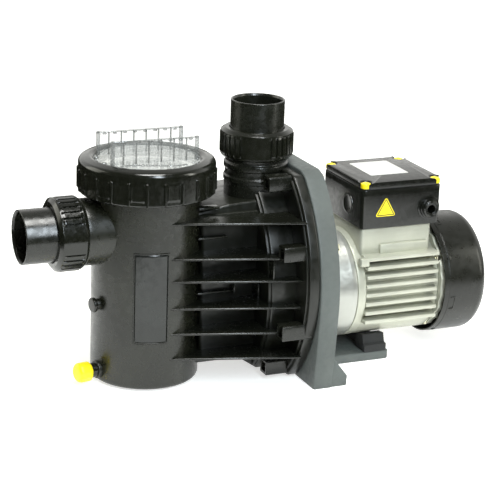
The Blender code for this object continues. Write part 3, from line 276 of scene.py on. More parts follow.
def edge_profile(low: float, high: float, edge: float, steps: int = 3) -> list:
    """The (inset, height) points of a wall from low to high with rounded upper and lower edges."""
    angle = np.linspace(0, math.pi / 2, steps + 1)
    bottom = np.column_stack([edge * (1 - np.sin(angle)), low + edge * (1 - np.cos(angle))])
    top = np.column_stack([edge * (1 - np.cos(angle)), high - edge * (1 - np.sin(angle))])
    return [*bottom.tolist(), *top.tolist()]


def prism(outline: Array | Sequence[Point], low: float, high: float, edge: float = 0.5 * MM,
          steps: int = 3) -> Shell:
    """A flat-ended solid over an outline in X and Y, its two ends' edges rounded."""
    return swept(np.array(outline, float), edge_profile(low, high, edge, steps), True)


def rectangle(low: Point, high: Point) -> list:
    """The corners of a rectangle, anticlockwise."""
    return [(low[0], low[1]), (high[0], low[1]), (high[0], high[1]), (low[0], high[1])]


def brick(low: Point, high: Point, edge: float = 0.8 * MM) -> Shell:
    """A block between two corners with all its edges rounded."""
    return prism(soften(rectangle(low, high), edge, 2), low[2], high[2], edge, 2)


def beside(side: int, low: Point, high: Point, edge: float = 0.8 * MM) -> Shell:
    """A block given for the +Y side (1), or the same block mirrored to the -Y side (-1)."""
    near, far = sorted((side * low[1], side * high[1]))
    return brick((low[0], near, low[2]), (high[0], far, high[2]), edge)


def rod(radius: float, low: float, high: float, edge: float = 0.6 * MM, steps: int = MEDIUM) -> Shell:
    """A solid cylinder along Z with rounded ends."""
    return turned(soften([(0, low), (radius, low), (radius, high), (0, high)], edge, 3, False), steps)


def ring(inner: float, outer: float, low: float, high: float, edge: float = 0.4 * MM,
         steps: int = MEDIUM) -> Shell:
    """A ring of rectangular section along Z with rounded edges."""
    return turned(soften([(inner, low), (outer, low), (outer, high), (inner, high)], edge, 2), steps)


def slab(front: Array, back: Array) -> Shell:
    """A closed plate between two grids of points of equal size, stitched along their edges."""
    rows, columns = front.shape[:2]
    index = np.arange(rows * columns).reshape(rows, columns)
    edge = np.concatenate([index[0, :-1], index[:-1, -1], index[-1, :0:-1], index[:0:-1, 0]])
    after = np.roll(edge, -1)
    half = rows * columns
    sides = np.stack([edge, after, after + half, edge + half], 1).tolist()
    faces = quads(rows, columns, False, False)
    lower = [[corner + half for corner in face[::-1]] for face in faces]
    return Shell(np.concatenate([front.reshape(-1, 3), back.reshape(-1, 3)]), faces + lower + sides)


def wire(path: Array, radius: float, closed: bool = False, sides: int = 12) -> Shell:
    """A round wire along a path: at each point a circle stands across the path's own direction."""
    ahead = np.roll(path, -1, 0) - np.roll(path, 1, 0) if closed else np.gradient(path, axis=0)
    ahead /= np.linalg.norm(ahead, axis=1)[:, None]
    up = np.array([0.0, 0.0, 1.0]) if abs(ahead[:, 2]).max() < 0.9 else np.array([0.0, 1.0, 0.0])
    across = np.cross(ahead, up)
    across /= np.linalg.norm(across, axis=1)[:, None]
    rise = np.cross(across, ahead)
    angle = np.arange(sides) * 2 * math.pi / sides
    spread = np.cos(angle)[None, :, None] * across[:, None] + np.sin(angle)[None, :, None] * rise[:, None]
    points = (path[:, None] + radius * spread).reshape(-1, 3)
    faces = quads(len(path), sides, closed, True)
    if not closed:
        faces += [list(range(sides)), list(range(len(points) - sides, len(points)))]
    return Shell(points, faces)


def circle(radius: float, count: int, middle: Point = (0.0, 0.0), phase: float = 0.0) -> Array:
    """Points round a circle, anticlockwise."""
    angle = phase + np.arange(count) * 2 * math.pi / count
    return np.column_stack([middle[0] + radius * np.cos(angle), middle[1] + radius * np.sin(angle)])


def plateau(value: Array, low: float, high: float, blend: float) -> Array:
    """1 between low and high, 0 outside, with smooth steps as wide as the blend inside both ends."""
    rise = np.clip((value - low) / blend, 0, 1)
    fall = np.clip((high - value) / blend, 0, 1)
    return rise * rise * (3 - 2 * rise) * fall * fall * (3 - 2 * fall)


def threads(radius: float, low: float, high: float, pitch: float, depth: float) -> list:
    """The zigzag of (radius, height) points that a thread's section shows."""
    count = max(int((high - low) / pitch), 1)
    starts = low + (high - low - count * pitch) / 2 + pitch * np.arange(count)
    shape = [(0.0, 0.0), (0.25, -depth), (0.5, -depth), (0.75, 0.0)]
    return [(radius + drop, start + share * pitch) for start in starts for share, drop in shape]


# ------------------------------------------------------------------ finishes
class Sheet:
    """A material's node tree, with short ways to add and join its nodes."""

    def __init__(self, name: str) -> None:
        """Starts a material that has a Principled shader and object coordinates."""
        self.material = bpy.data.materials.new(name)
        self.material.use_nodes = True
        self.tree = self.material.node_tree
        self.shader = self.tree.nodes["Principled BSDF"]
        self.place = self.add("ShaderNodeTexCoord").outputs["Object"]

    def add(self, kind: str, **settings: object) -> bpy.types.Node:
        """A new node with these settings."""
        node = self.tree.nodes.new(kind)
        for key, value in settings.items():
            setattr(node, key, value)
        return node

    def join(self, source: bpy.types.NodeSocket, target: bpy.types.NodeSocket) -> None:
        """Links two sockets."""
        self.tree.links.new(source, target)

    def set(self, **values: object) -> None:
        """Sets the shader's own sockets, named with _ for a space."""
        for key, value in values.items():
            self.shader.inputs[key.replace("_", " ")].default_value = value

    def noise(self, scale: float, detail: float = 3.0, squash: Point = (1, 1, 1)) -> bpy.types.NodeSocket:
        """Noise over object coordinates.

        Args:
            scale: Features for each metre.
            detail: Octaves of finer noise.
            squash: How much denser the pattern is along each axis.

        Returns:
            The socket that holds its value.
        """
        mapping = self.add("ShaderNodeMapping")
        mapping.inputs["Scale"].default_value = squash
        self.join(self.place, mapping.inputs["Vector"])
        node = self.add("ShaderNodeTexNoise")
        node.inputs["Scale"].default_value = scale
        node.inputs["Detail"].default_value = detail
        self.join(mapping.outputs["Vector"], node.inputs["Vector"])
        return node.outputs["Fac"]

    def spread(self, source: bpy.types.NodeSocket, low: float, high: float,
               start: float = 0.35, end: float = 0.65) -> bpy.types.NodeSocket:
        """The source's start to end stretched to low to high, smoothly."""
        node = self.add("ShaderNodeMapRange", interpolation_type="SMOOTHSTEP")
        for key, value in zip(("From Min", "From Max", "To Min", "To Max"), (start, end, low, high)):
            node.inputs[key].default_value = value
        self.join(source, node.inputs["Value"])
        return node.outputs["Result"]

    def blend(self, share: bpy.types.NodeSocket, first: Point, second: Point) -> bpy.types.NodeSocket:
        """Two colours mixed by a share."""
        node = self.add("ShaderNodeMix", data_type="RGBA")
        colours = [item for item in node.inputs if item.type == "RGBA"]
        colours[0].default_value = (*first, 1)
        colours[1].default_value = (*second, 1)
        self.join(share, node.inputs["Factor"])
        return [item for item in node.outputs if item.type == "RGBA"][0]

    def bump(self, height: bpy.types.NodeSocket, depth: float,
             under: bpy.types.NodeSocket | None = None) -> bpy.types.NodeSocket:
        """A bump of the given depth in metres, on top of another one."""
        node = self.add("ShaderNodeBump")
        node.inputs["Strength"].default_value = 1.0
        node.inputs["Distance"].default_value = depth
        self.join(height, node.inputs["Height"])
        if under:
            self.join(under, node.inputs["Normal"])
        return node.outputs["Normal"]


@dataclass(frozen=True)
class Moulded:
    """Moulded plastic, rubber or paint: two close colours, cloudy roughness, fine grain and slow ripple."""

    name: str
    colour: tuple
    rough: tuple
    grain: float = 900.0
    grain_depth: float = 0.02 * MM
    ripple: float = 60.0
    ripple_depth: float = 0.05 * MM
    lift: float = 1.5
    metallic: float = 0.0
    squash: tuple = (1, 1, 1)

    def material(self) -> bpy.types.Material:
        """A new material of this finish."""
        sheet = Sheet(self.name)
        clouds = sheet.noise(14.0, 4.0)
        dust = sheet.noise(self.ripple * 3, 5.0)
        lighter = tuple(min(value * self.lift, 1.0) for value in self.colour)
        sheet.join(sheet.blend(sheet.spread(clouds, 0, 1), self.colour, lighter),
                   sheet.shader.inputs["Base Color"])
        sheet.join(sheet.spread(dust, *self.rough), sheet.shader.inputs["Roughness"])
        wave = sheet.bump(sheet.noise(self.ripple, 2.0), self.ripple_depth)
        grain = sheet.bump(sheet.noise(self.grain, 2.0, self.squash), self.grain_depth, wave)
        sheet.join(grain, sheet.shader.inputs["Normal"])
        sheet.set(Metallic=self.metallic)
        return sheet.material


@dataclass(frozen=True)
class Clear:
    """Clear moulded plastic: see-through face on, milky and shining at its edges."""

    name: str
    colour: tuple = (0.52, 0.53, 0.51)
    face: float = 0.12
    edge: float = 0.62

    def material(self) -> bpy.types.Material:
        """A new material of this finish."""
        sheet = Sheet(self.name)
        facing = sheet.add("ShaderNodeLayerWeight")
        facing.inputs["Blend"].default_value = 0.35
        haze = sheet.noise(160.0, 3.0)
        sheet.join(sheet.spread(facing.outputs["Facing"], self.face, self.edge, 0.15, 0.95),
                   sheet.shader.inputs["Alpha"])
        sheet.join(sheet.spread(haze, 0.04, 0.14), sheet.shader.inputs["Roughness"])
        tint = tuple(value * 1.25 for value in self.colour)
        sheet.join(sheet.blend(sheet.spread(haze, 0, 1), self.colour, tint),
                   sheet.shader.inputs["Base Color"])
        sheet.join(sheet.bump(sheet.noise(90.0, 2.0), 0.05 * MM), sheet.shader.inputs["Normal"])
        sheet.set(Specular_IOR_Level=0.8)
        return sheet.material


@dataclass(frozen=True)
class Wound:
    """Enamelled wire wound round X: fine turns lie side by side under a coat of varnish, with painted shade
    darkening the creases between turns.
    """

    name: str
    colour: tuple = (0.5, 0.17, 0.06)

    def material(self) -> bpy.types.Material:
        """A new material of this finish."""
        sheet = Sheet(self.name)
        turns = sheet.add("ShaderNodeTexWave", bands_direction="X")
        turns.inputs["Scale"].default_value = 220.0
        turns.inputs["Distortion"].default_value = 3.0
        sheet.join(sheet.place, turns.inputs["Vector"])
        # Painted shade: the colour darkens to about a third in the wave's troughs, the creases between turns.
        dark = tuple(value * 0.35 for value in self.colour)
        sheet.join(sheet.blend(turns.outputs["Fac"], dark, self.colour), sheet.shader.inputs["Base Color"])
        sheet.join(sheet.spread(sheet.noise(90.0), 0.2, 0.45), sheet.shader.inputs["Roughness"])
        sheet.join(sheet.bump(turns.outputs["Fac"], 0.3 * MM), sheet.shader.inputs["Normal"])
        sheet.set(Metallic=0.8, Coat_Weight=0.5)
        return sheet.material


class Finish(Enum):
    """Every finish on the pump."""

    CASING = Moulded("satin_black_casing", (0.005, 0.0055, 0.0035), (0.28, 0.4), 1100, 0.008 * MM, 45,
                     0.02 * MM, 1.6)
    TANK = Moulded("grained_black_tank", (0.007, 0.0075, 0.0045), (0.24, 0.33), 520, 0.035 * MM, 40,
                   0.015 * MM, 1.7)
    RIB = Moulded("moulded_black_rib", (0.006, 0.0065, 0.0045), (0.20, 0.28), 1100, 0.003 * MM, 45,
                  0.01 * MM, 1.5)
    GLOSS = Moulded("glossy_black_nut", (0.005, 0.0055, 0.0035), (0.13, 0.22), 1300, 0.004 * MM, 70,
                    0.012 * MM, 1.5)
    SPIGOT = Moulded("drawn_black_pipe", (0.006, 0.0065, 0.0045), (0.22, 0.32), 900, 0.008 * MM, 50,
                     0.015 * MM, 1.5)
    BOX = Moulded("glossy_black_box", (0.005, 0.0055, 0.004), (0.17, 0.26), 900, 0.004 * MM, 50, 0.008 * MM,
                  1.5)
    COWL = Moulded("smooth_black_cowl", (0.007, 0.0073, 0.005), (0.27, 0.36), 1200, 0.006 * MM, 30,
                   0.015 * MM, 1.5)
    FLANGE = Moulded("cast_dark_grey_flange", (0.070, 0.079, 0.074), (0.50, 0.66), 420, 0.05 * MM, 60,
                     0.05 * MM, 1.25)
    MOTOR = Moulded("painted_silver_casting", (0.44, 0.445, 0.37), (0.34, 0.46), 520, 0.04 * MM, 90,
                    0.04 * MM, 1.15, 0.45)
    TURNED = Moulded("turned_silver_shield", (0.42, 0.425, 0.39), (0.28, 0.38), 700, 0.02 * MM, 60,
                     0.02 * MM, 1.1, 0.65, squash=(8, 1, 1))
    ZINC = Moulded("yellow_zinc_bolt", (0.70, 0.68, 0.52), (0.22, 0.36), 900, 0.02 * MM, 90, 0.03 * MM, 1.2,
                   1.0)
    STEEL = Moulded("ground_steel", (0.50, 0.50, 0.49), (0.22, 0.34), 500, 0.02 * MM, 90, 0.02 * MM, 1.15,
                    1.0, squash=(8, 1, 1))
    LAMINATED = Moulded("laminated_steel", (0.30, 0.30, 0.31), (0.35, 0.5), 260, 0.1 * MM, 90, 0.02 * MM,
                        1.4, 1.0, squash=(9, 0.2, 0.2))
    YELLOW = Moulded("bright_yellow_plastic", (0.84, 0.68, 0.006), (0.30, 0.42), 900, 0.02 * MM, 60,
                     0.03 * MM, 1.05)
    BASKET = Moulded("pale_grey_basket", (0.66, 0.66, 0.62), (0.35, 0.5), 700, 0.03 * MM, 60, 0.04 * MM,
                     1.15)
    INNER = Moulded("inner_black_moulding", (0.03, 0.03, 0.03), (0.4, 0.6), 700, 0.04 * MM, 60, 0.05 * MM,
                    1.6)
    RUBBER = Moulded("black_rubber", (0.012, 0.012, 0.012), (0.55, 0.75), 1400, 0.03 * MM, 70, 0.04 * MM,
                     1.8)
    PLATE = Moulded("silver_name_plate", (0.62, 0.62, 0.59), (0.35, 0.5), 600, 0.01 * MM, 60, 0.02 * MM,
                    1.12, 0.1, squash=(1, 9, 1))
    LABEL = Moulded("smooth_black_label", (0.008, 0.009, 0.008), (0.12, 0.24), 260, 0.04 * MM, 45,
                    0.10 * MM, 1.8)
    SIGN_BLACK = Moulded("sign_black_print", (0.015, 0.015, 0.012), (0.3, 0.4), 900, 0.005 * MM, 60,
                         0.01 * MM, 1.3)
    CERAMIC = Moulded("lapped_ceramic", (0.72, 0.70, 0.64), (0.12, 0.25), 900, 0.005 * MM, 60, 0.01 * MM,
                      1.08)
    CARBON = Moulded("lapped_carbon", (0.03, 0.03, 0.034), (0.3, 0.45), 1200, 0.01 * MM, 60, 0.01 * MM, 1.6)
    CLEAR = Clear("clear_lid_plastic")
    # Painted shade: the lid's own clear plastic made dark grey and less see-through, for the dark look of its
    # thick edges.
    CLEAR_EDGE = Clear("clear_lid_edges", (0.16, 0.165, 0.16), 0.42, 0.9)
    COPPER = Wound("enamelled_copper_wire")

    def material(self) -> bpy.types.Material:
        """The Blender material of this finish, made once."""
        return bpy.data.materials.get(self.value.name) or self.value.material()


# ------------------------------------------------------------------ placing pieces
def meshed(name: str, shell: Shell, sharp: float) -> bpy.types.Object:
    """A new object at the origin that holds a shell.

    Doubles at poles are merged and each closed surface is turned to face outwards.

    Args:
        name: The object's name.
        shell: Its surface.
        sharp: Edges that turn by more than this many degrees stay sharp.

    Returns:
        The object, linked to the scene.
    """
    mesh = bpy.data.meshes.new(name)
    mesh.from_pydata(shell.points.tolist(), [], shell.faces)
    bm = bmesh.new()
    bm.from_mesh(mesh)
    bmesh.ops.remove_doubles(bm, verts=bm.verts, dist=1e-6)
    bmesh.ops.recalc_face_normals(bm, faces=bm.faces)
    bm.to_mesh(mesh)
    bm.free()
    mesh.shade_smooth()
    mesh.set_sharp_from_angle(angle=math.radians(sharp))
    made = bpy.data.objects.new(name, mesh)
    bpy.context.scene.collection.objects.link(made)
    return made


def put(name: str, shell: Shell, finish: Finish, body: str, slot: str, *nodes: str, sharp: float = 35.0,
        holes: Shell | None = None) -> bpy.types.Object:
    """Makes a piece, dresses it and hangs it on its CAD body.

    Args:
        name: The piece's name.
        shell: Its surface, already in place.
        finish: What it is made of.
        body: The CAD body that it rides on.
        slot: The record's material slot; not used.
        nodes: The CAD nodes that it stands for.
        sharp: Edges that turn by more than this many degrees stay sharp.
        holes: Closed shapes that are cut out of it.

    Returns:
        The piece.
    """
    made = meshed(name, shell, sharp)
    if holes is not None:
        cutter = meshed(name + "_holes", holes, sharp)
        modifier = made.modifiers.new("cut", "BOOLEAN")
        modifier.object = cutter
        modifier.use_self = True
        graph = bpy.context.evaluated_depsgraph_get()
        cut = bpy.data.meshes.new_from_object(made.evaluated_get(graph))
        made.modifiers.clear()
        made.data = cut
        cut.set_sharp_from_angle(angle=math.radians(sharp))
        bpy.data.objects.remove(cutter)
    made.data.materials.clear()
    made.data.materials.append(finish.material())
    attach(made, body)
    if nodes:
        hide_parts(*nodes)
    log.info("%s: %d faces on %s", name, len(made.data.polygons), body)
    return made


# ------------------------------------------------------------------ strainer tank
@dataclass
class StrainerTank:
    """The upright strainer tank with its threaded collar, name panel, plug bosses and suction boss."""

    axis_x: float
    radius: float = 63.4 * MM
    wall: float = 4.5 * MM
    bottom: float = 2 * MM
    top: float = 256 * MM
    collar_radius: float = 71.4 * MM
    collar_low: float = 233 * MM
    seat_radius: float = 60.5 * MM
    seat_depth: float = 4 * MM
    panel_turn: tuple = (-33.0, 5.0)
    panel_low: float = 58.5 * MM
    panel_high: float = 168 * MM
    port_x: float = -273 * MM
    port_z: float = 181.3 * MM
    plug_turn: float = math.radians(12)
    plugs: tuple = ((DRAIN_Z, 10.5 * MM, 6.3 * MM),
                    (SIDE_Z, 6.5 * MM, 3.8 * MM))  # height, pad and hole radius

    def build(self) -> None:
        """Makes the tank, its panel and its bosses."""
        put("tank_body", self.body(), Finish.TANK, "root", "casing_plastic", "pump_casing",
            holes=self.bores())
        put("tank_name_panel", self.panel(), Finish.LABEL, "root", "casing_plastic")
        put("tank_name_frame", self.frame(), Finish.RIB, "root", "casing_plastic")
        put("suction_boss", self.suction_boss(), Finish.TANK, "root", "casing_plastic")
        pads = [rod(pad, -3 * MM, 4 * MM, 1.2 * MM).moved(self.plug_place(z)) for z, pad, _ in self.plugs]
        put("tank_plug_pads", gathered(pads), Finish.CASING, "root", "casing_plastic")

    def body(self) -> Shell:
        """The tank's wall: outside, threaded collar, O-ring groove, seat and inside, as one profile."""
        inner = self.radius - self.wall
        groove = (self.seat_radius + self.collar_radius) / 2
        outside = soften([
            (0, self.bottom + 1 * MM), (50 * MM, self.bottom + 1 * MM), (52 * MM, self.bottom),
            (self.radius, self.bottom), (self.radius, 90 * MM), (self.radius, self.collar_low - 4 * MM),
            (self.collar_radius, self.collar_low)], [0, 1 * MM, 1 * MM, 9 * MM, 0, 2 * MM, 0], 6, False)
        thread = threads(self.collar_radius, self.collar_low + 2 * MM, self.top - 3 * MM, 4.5 * MM,
                         1.6 * MM)
        inside = soften([
            (self.collar_radius, self.top - 1.5 * MM), (self.collar_radius - 1.5 * MM, self.top),
            (groove + 2.3 * MM, self.top), (groove + 2.3 * MM, self.top - 2.6 * MM),
            (groove - 2.3 * MM, self.top - 2.6 * MM), (groove - 2.3 * MM, self.top),
            (self.seat_radius, self.top), (self.seat_radius, self.top - 6 * MM - self.seat_depth),
            (inner, self.top - 6 * MM - self.seat_depth), (inner, 8 * MM), (0, 8 * MM)], 0.6 * MM, 2, False)
        return turned(np.concatenate([outside, thread, inside])).shifted(self.axis_x, 0, 0)

    def bores(self) -> Shell:
        """The cutters for the suction bore and the two plug holes."""
        suction = rod(PIPE_BORE, 35 * MM, 90 * MM, 0).moved(Toward.MINUS_X.at(self.axis_x, 0, self.port_z))
        taps = [rod(hole, -14 * MM, 14 * MM, 0).moved(self.plug_place(z)) for z, _, hole in self.plugs]
        return gathered([suction, *taps])

    def plug_place(self, height: float) -> Array:
        """Where a plug leaves the wall, its own +Z pointing out of the tank."""
        out = about_z(self.plug_turn) @ Toward.MINUS_X.at(-self.radius, 0, 0)
        return Toward.UP.at(self.axis_x, 0, height) @ out

    def on_wall(self, points: Array) -> Array:
        """Flat (arc length, height, depth) wrapped onto the tank's wall, arc 0 facing -Y."""
        turn = points[:, 0] / self.radius - math.pi / 2
        reach = self.radius + points[:, 2]
        return np.column_stack([self.axis_x + reach * np.cos(turn), reach * np.sin(turn), points[:, 1]])

    def panel_grid(self, margin: float, depth: Callable[[Array, Array], Array]) -> Shell:
        """A plate over the panel's place, its depth a function of the distance from the panel's edge."""
        start, end = (math.radians(turn) * self.radius for turn in self.panel_turn)
        across = np.linspace(start + margin, end - margin, 72)
        up = np.linspace(self.panel_low + margin, self.panel_high - margin, 120)
        across, up = np.meshgrid(across, up)
        side = np.minimum(across - start, end - across)
        ends = np.minimum(up - self.panel_low, self.panel_high - up)
        front = np.stack([across, up, depth(side, ends)], -1)
        back = np.stack([across, up, np.full_like(up, -1.5 * MM)], -1)
        return slab(front, back).mapped(self.on_wall)

    def frame(self) -> Shell:
        """The raised border: depth rises and falls across the outer millimetres of the panel."""
        def depth(side: Array, ends: Array) -> Array:
            edge = np.minimum(side, ends)
            return 1.6 * MM * plateau(edge, -0.1 * MM, 2.6 * MM, 0.9 * MM) - 0.4 * MM
        return self.panel_grid(0.0, depth)

    def panel(self) -> Shell:
        """The slightly crowned field inside the border."""
        def depth(side: Array, ends: Array) -> Array:
            edge = np.minimum(side, ends)
            return 0.7 * MM * plateau(edge, 2 * MM, 1.0, 1.5 * MM) - 0.1 * MM
        return self.panel_grid(2 * MM, depth)

    def suction_boss(self) -> Shell:
        """The boss that carries the suction thread. Its back end follows the tank's own round wall."""
        face, bore, thread = 38.9 * MM, PIPE_BORE, THREAD_RADIUS
        rim = soften([(thread, 0), (face, -0.4 * MM), (face, -6 * MM)], [0, 3 * MM, 0], 5, False)
        shank = [(face, z * MM) for z in (-10, -14, -18, -22, -60)]
        groove = mm((34.4, 11.7), (34.4, 8.1), (30.2, 8.1), (30.2, 11.7))
        front = [*groove, (bore, 11.7 * MM)]
        thread_line = threads(thread, 1 * MM, 11 * MM, 3 * MM, 1.2 * MM)
        line = np.concatenate([rim[::-1], thread_line, [(thread - 0.5 * MM, 11.7 * MM)], front,
                               [(bore, -60 * MM)], shank[::-1]])
        shell = turned(line).moved(Toward.MINUS_X.at(self.port_x, 0, self.port_z))

        def onto_tank(points: Array) -> Array:
            wall = self.radius - self.wall + 1 * MM
            back = self.axis_x - np.sqrt(np.maximum(wall ** 2 - points[:, 1] ** 2, 0))
            moved = points.copy()
            moved[:, 0] = np.minimum(points[:, 0], back)
            return moved
        return shell.mapped(onto_tank)


@dataclass
class StrainerBasket:
    """The pale basket: a tapered cup of upright bars and hoops, with a rim and a bridge handle."""

    axis_x: float
    low: float = 70 * MM
    rim: float = 250 * MM
    radius: float = 54.5 * MM
    taper: float = 4 * MM
    wall: float = 2.2 * MM
    bars: int = 40
    hoops: int = 9

    def build(self) -> None:
        """Makes the basket on its own body."""
        shells = [self.rim_ring(), self.floor(), self.handle(), *self.cage()]
        put("basket_cage", gathered(shells).shifted(self.axis_x, 0, 0), Finish.BASKET, "basket",
            "basket_plastic", "strainer_basket")

    def rim_ring(self) -> Shell:
        """The flat rim that hangs on the tank's seat."""
        return ring(self.radius - self.wall, 60 * MM, self.rim - 3.4 * MM, self.rim, 0.8 * MM, FINE)

    def floor(self) -> Shell:
        """The round floor with a raised middle."""
        low = self.radius - self.taper
        return turned(soften([(0, self.low + 2.5 * MM), (low - 4 * MM, self.low + 2.5 * MM),
                              (low - 1 * MM, self.low + 5 * MM), (low, self.low + 5 * MM), (low, self.low),
                              (0, self.low)][::-1], 0.8 * MM, 2, False))

    def cage(self) -> list:
        """The upright bars, which lean with the taper, and the hoops across them."""
        height = self.rim - self.low
        bar = brick((-1.1 * MM, -1.2 * MM, 1 * MM), (1.1 * MM, 1.2 * MM, height - 2 * MM), 0.5 * MM)
        lean = bar.mapped(lambda p: np.column_stack([
            p[:, 0] + self.radius - self.taper - 1.2 * MM + self.taper * p[:, 2] / height, p[:, 1],
            p[:, 2] + self.low]))
        made = [around(lean, self.bars)]
        for share in np.linspace(0.08, 0.92, self.hoops):
            radius = self.radius - self.taper * (1 - share) - 0.4 * MM
            made.append(ring(radius - self.wall, radius, self.low + share * height - 2 * MM,
                             self.low + share * height + 2 * MM, 0.6 * MM, FINE))
        return made

    def handle(self) -> Shell:
        """The bridge over the mouth: a flat bar that bows down a little between the walls."""
        reach = self.radius - 1.5 * MM
        along = np.linspace(-reach, reach, 49)
        sag = -6 * MM * np.cos(along / reach * math.pi / 2) + 0.5 * MM
        edges = [np.column_stack([along, np.full_like(along, y), self.rim - 1 * MM + sag])
                 for y in (-4 * MM, 4 * MM)]
        front = np.stack(edges)
        back = front - np.array([0, 0, 3 * MM])
        return slab(front, back)


@dataclass
class TankLid:
    """The clear lid: a dished disc, two upright wings with posts and notches, and a curved rib."""

    axis_x: float
    low: float = 258.1 * MM
    thick: float = 4.5 * MM
    radius: float = 70.5 * MM
    dome_radius: float = 58.5 * MM
    dome: float = 1.5 * MM
    wing_y: float = 25 * MM
    wing_half: float = 53 * MM
    wing_thick: float = 2.6 * MM
    wing_top: float = 291 * MM

    def build(self) -> None:
        """Makes the disc and the wings on the lid's body."""
        sheets, edges = [self.disc()], [self.curved_rib(), self.clips()]
        for side in (-1, 1):
            sheets.append(self.wing_sheet(side))
            edges += self.wing_edges(side)
        put("lid_clear", gathered(sheets).shifted(self.axis_x, 0, 0), Finish.CLEAR, "lid", "clear_lid",
            "tank_lid")
        # The wings' rails, posts, stiffeners and blocks, the rib and the clips take the darker clear finish:
        # painted shade.
        put("lid_painted_shade_edges", gathered(edges).shifted(self.axis_x, 0, 0), Finish.CLEAR_EDGE, "lid", "clear_lid")

    @property
    def top(self) -> float:
        """The height of the lid's flat top."""
        return self.low + self.thick

    def disc(self) -> Shell:
        """The disc with its raised middle and a shallow step near the edge."""
        return turned(soften([
            (0, self.top + self.dome), (self.dome_radius - 3 * MM, self.top + self.dome),
            (self.dome_radius, self.top), (self.radius, self.top), (self.radius, self.low),
            (self.dome_radius + 1 * MM, self.low), (self.dome_radius - 1 * MM, self.low + 1.2 * MM),
            (0, self.low + 1.2 * MM)], 0.7 * MM, 3, False))

    def wing_sheet(self, side: int) -> Shell:
        """The thin upright plate of one wing, near (-1) or far (1)."""
        y, half, thick = side * self.wing_y, self.wing_half, self.wing_thick
        return brick((-half, y - thick / 2, self.top + 0.5 * MM),
                     (half, y + thick / 2, self.wing_top - 1.5 * MM), 0.5 * MM)

    def wing_edges(self, side: int) -> list:
        """The parts of one wing that take the darker clear finish, painted shade for the dark look of thick
        clear edges: rail, end posts, stiffeners and notched blocks.

        Args:
            side: -1 for the near wing and 1 for the far one.

        Returns:
            Their shells.
        """
        y, foot, half = side * self.wing_y, self.top + 0.5 * MM, self.wing_half
        shells = [brick((-half, y - 1.7 * MM, self.wing_top - 1.7 * MM),
                        (half, y + 1.7 * MM, self.wing_top), 0.6 * MM)]
        for end in (-1, 1):
            x = end * (half - 2.3 * MM)
            shells.append(rod(2.4 * MM, foot, self.wing_top + 0.6 * MM, 0.8 * MM, 24).shifted(x, y, 0))
        for x in np.linspace(-half, half, 8)[1:-1]:
            shells.append(brick((x - 0.45 * MM, y - 2 * MM, foot),
                                (x + 0.45 * MM, y + 2 * MM, self.wing_top - 1 * MM), 0.3 * MM))
        for x in np.linspace(-half + 8 * MM, half - 12 * MM, 8):
            low = (x, y - 1.9 * MM, self.wing_top - 3.6 * MM)
            shells.append(brick(low, (x + 4 * MM, y + 1.9 * MM, self.wing_top - 1.5 * MM), 0.4 * MM))
        return shells

    def curved_rib(self) -> Shell:
        """A low rib on the disc whose course is a slow S between the near wing's ends."""
        along = np.linspace(-52 * MM, 52 * MM, 61)
        turn = along / (52 * MM) * math.pi
        course = -40 * MM - 7 * MM * np.sin(turn) - 3 * MM * np.cos(turn)
        rise = np.full_like(along, self.top + self.dome + 0.3 * MM)
        keep = along ** 2 + course ** 2 < (self.dome_radius - 3 * MM) ** 2
        return wire(np.column_stack([along, course, rise])[keep], 0.9 * MM)

    def clips(self) -> Shell:
        """The four small catches by the posts, which hold the lid in its ring."""
        shells = [brick((x - 2.2 * MM, y - 3 * MM, self.top),
                        (x + 2.2 * MM, y + 3 * MM, self.top + 2.6 * MM))
                  for x in (-56.5 * MM, 56.5 * MM) for y in (-14 * MM, 14 * MM)]
        return gathered(shells)


@dataclass
class LidRing:
    """The glossy screw ring: a broad rounded crown over a skirt with grip bars and raised panels."""

    axis_x: float
    radius: float = 79 * MM
    low: float = 225.8 * MM
    top: float = 266.6 * MM
    phase: float = math.radians(23.5)
    lip_radius: float = 61.5 * MM
    bore: float = 72 * MM
    crown: float = 9.5 * MM
    bars: int = 24
    bar_height: float = 1.7 * MM
    panel_height: float = 0.8 * MM

    def build(self) -> None:
        """Makes the ring on its own body."""
        put("lid_screw_ring", self.body().shifted(self.axis_x, 0, 0), Finish.GLOSS, "lid_ring",
            "nut_plastic", "lid_ring", sharp=50)

    def grips(self, angle: Array, radius: Array, height: Array) -> Array:
        """How far the skirt stands out: a bar on each pitch, a raised panel between every other two."""
        pitches = (angle - self.phase) * self.bars / (2 * math.pi)
        turn, number = pitches % 1.0, np.floor(pitches + 1e-9).astype(int) % 2
        bar = plateau(turn, 0.0, 0.17, 0.045)
        panel = (plateau(turn, 0.21, 0.96, 0.03) - 0.75 * plateau(turn, 0.26, 0.91, 0.03)) * (number == 0)
        tall = plateau(height, self.low + 0.8 * MM, self.top - 13.5 * MM, 0.9 * MM)
        field = plateau(height, self.low + 6 * MM, self.top - 15 * MM, 0.8 * MM)
        skirt = radius > self.radius - 0.6 * MM
        return skirt * (self.bar_height * bar * tall + self.panel_height * panel * field)

    def body(self) -> Shell:
        """The ring's section: skirt, crown, lip, underside and threaded bore."""
        under = 263 * MM
        crown = soften([(self.radius, self.top - 13 * MM), (self.radius, self.top - 3.2 * MM),
                        (self.radius - 12 * MM, self.top),
                        (self.lip_radius + 2.5 * MM, self.top - 0.6 * MM),
                        (self.lip_radius, self.top - 2.5 * MM), (self.lip_radius, under)],
                       [0, self.crown, 14 * MM, 2 * MM, 1 * MM, 0], 10, False)
        skirt = [(self.radius, z) for z in np.linspace(self.low + 1 * MM, self.top - 13.5 * MM, 30)]
        thread = threads(self.bore + 0.2 * MM, self.low + 4 * MM, 254 * MM, 4.5 * MM, -1.4 * MM)[::-1]
        inside = [(self.bore + 0.2 * MM, under), *thread, (self.bore + 0.2 * MM, self.low + 2 * MM),
                  (self.bore + 1.5 * MM, self.low), (self.radius - 1 * MM, self.low)]
        return turned(np.concatenate([skirt, crown, inside]), 960, self.grips)


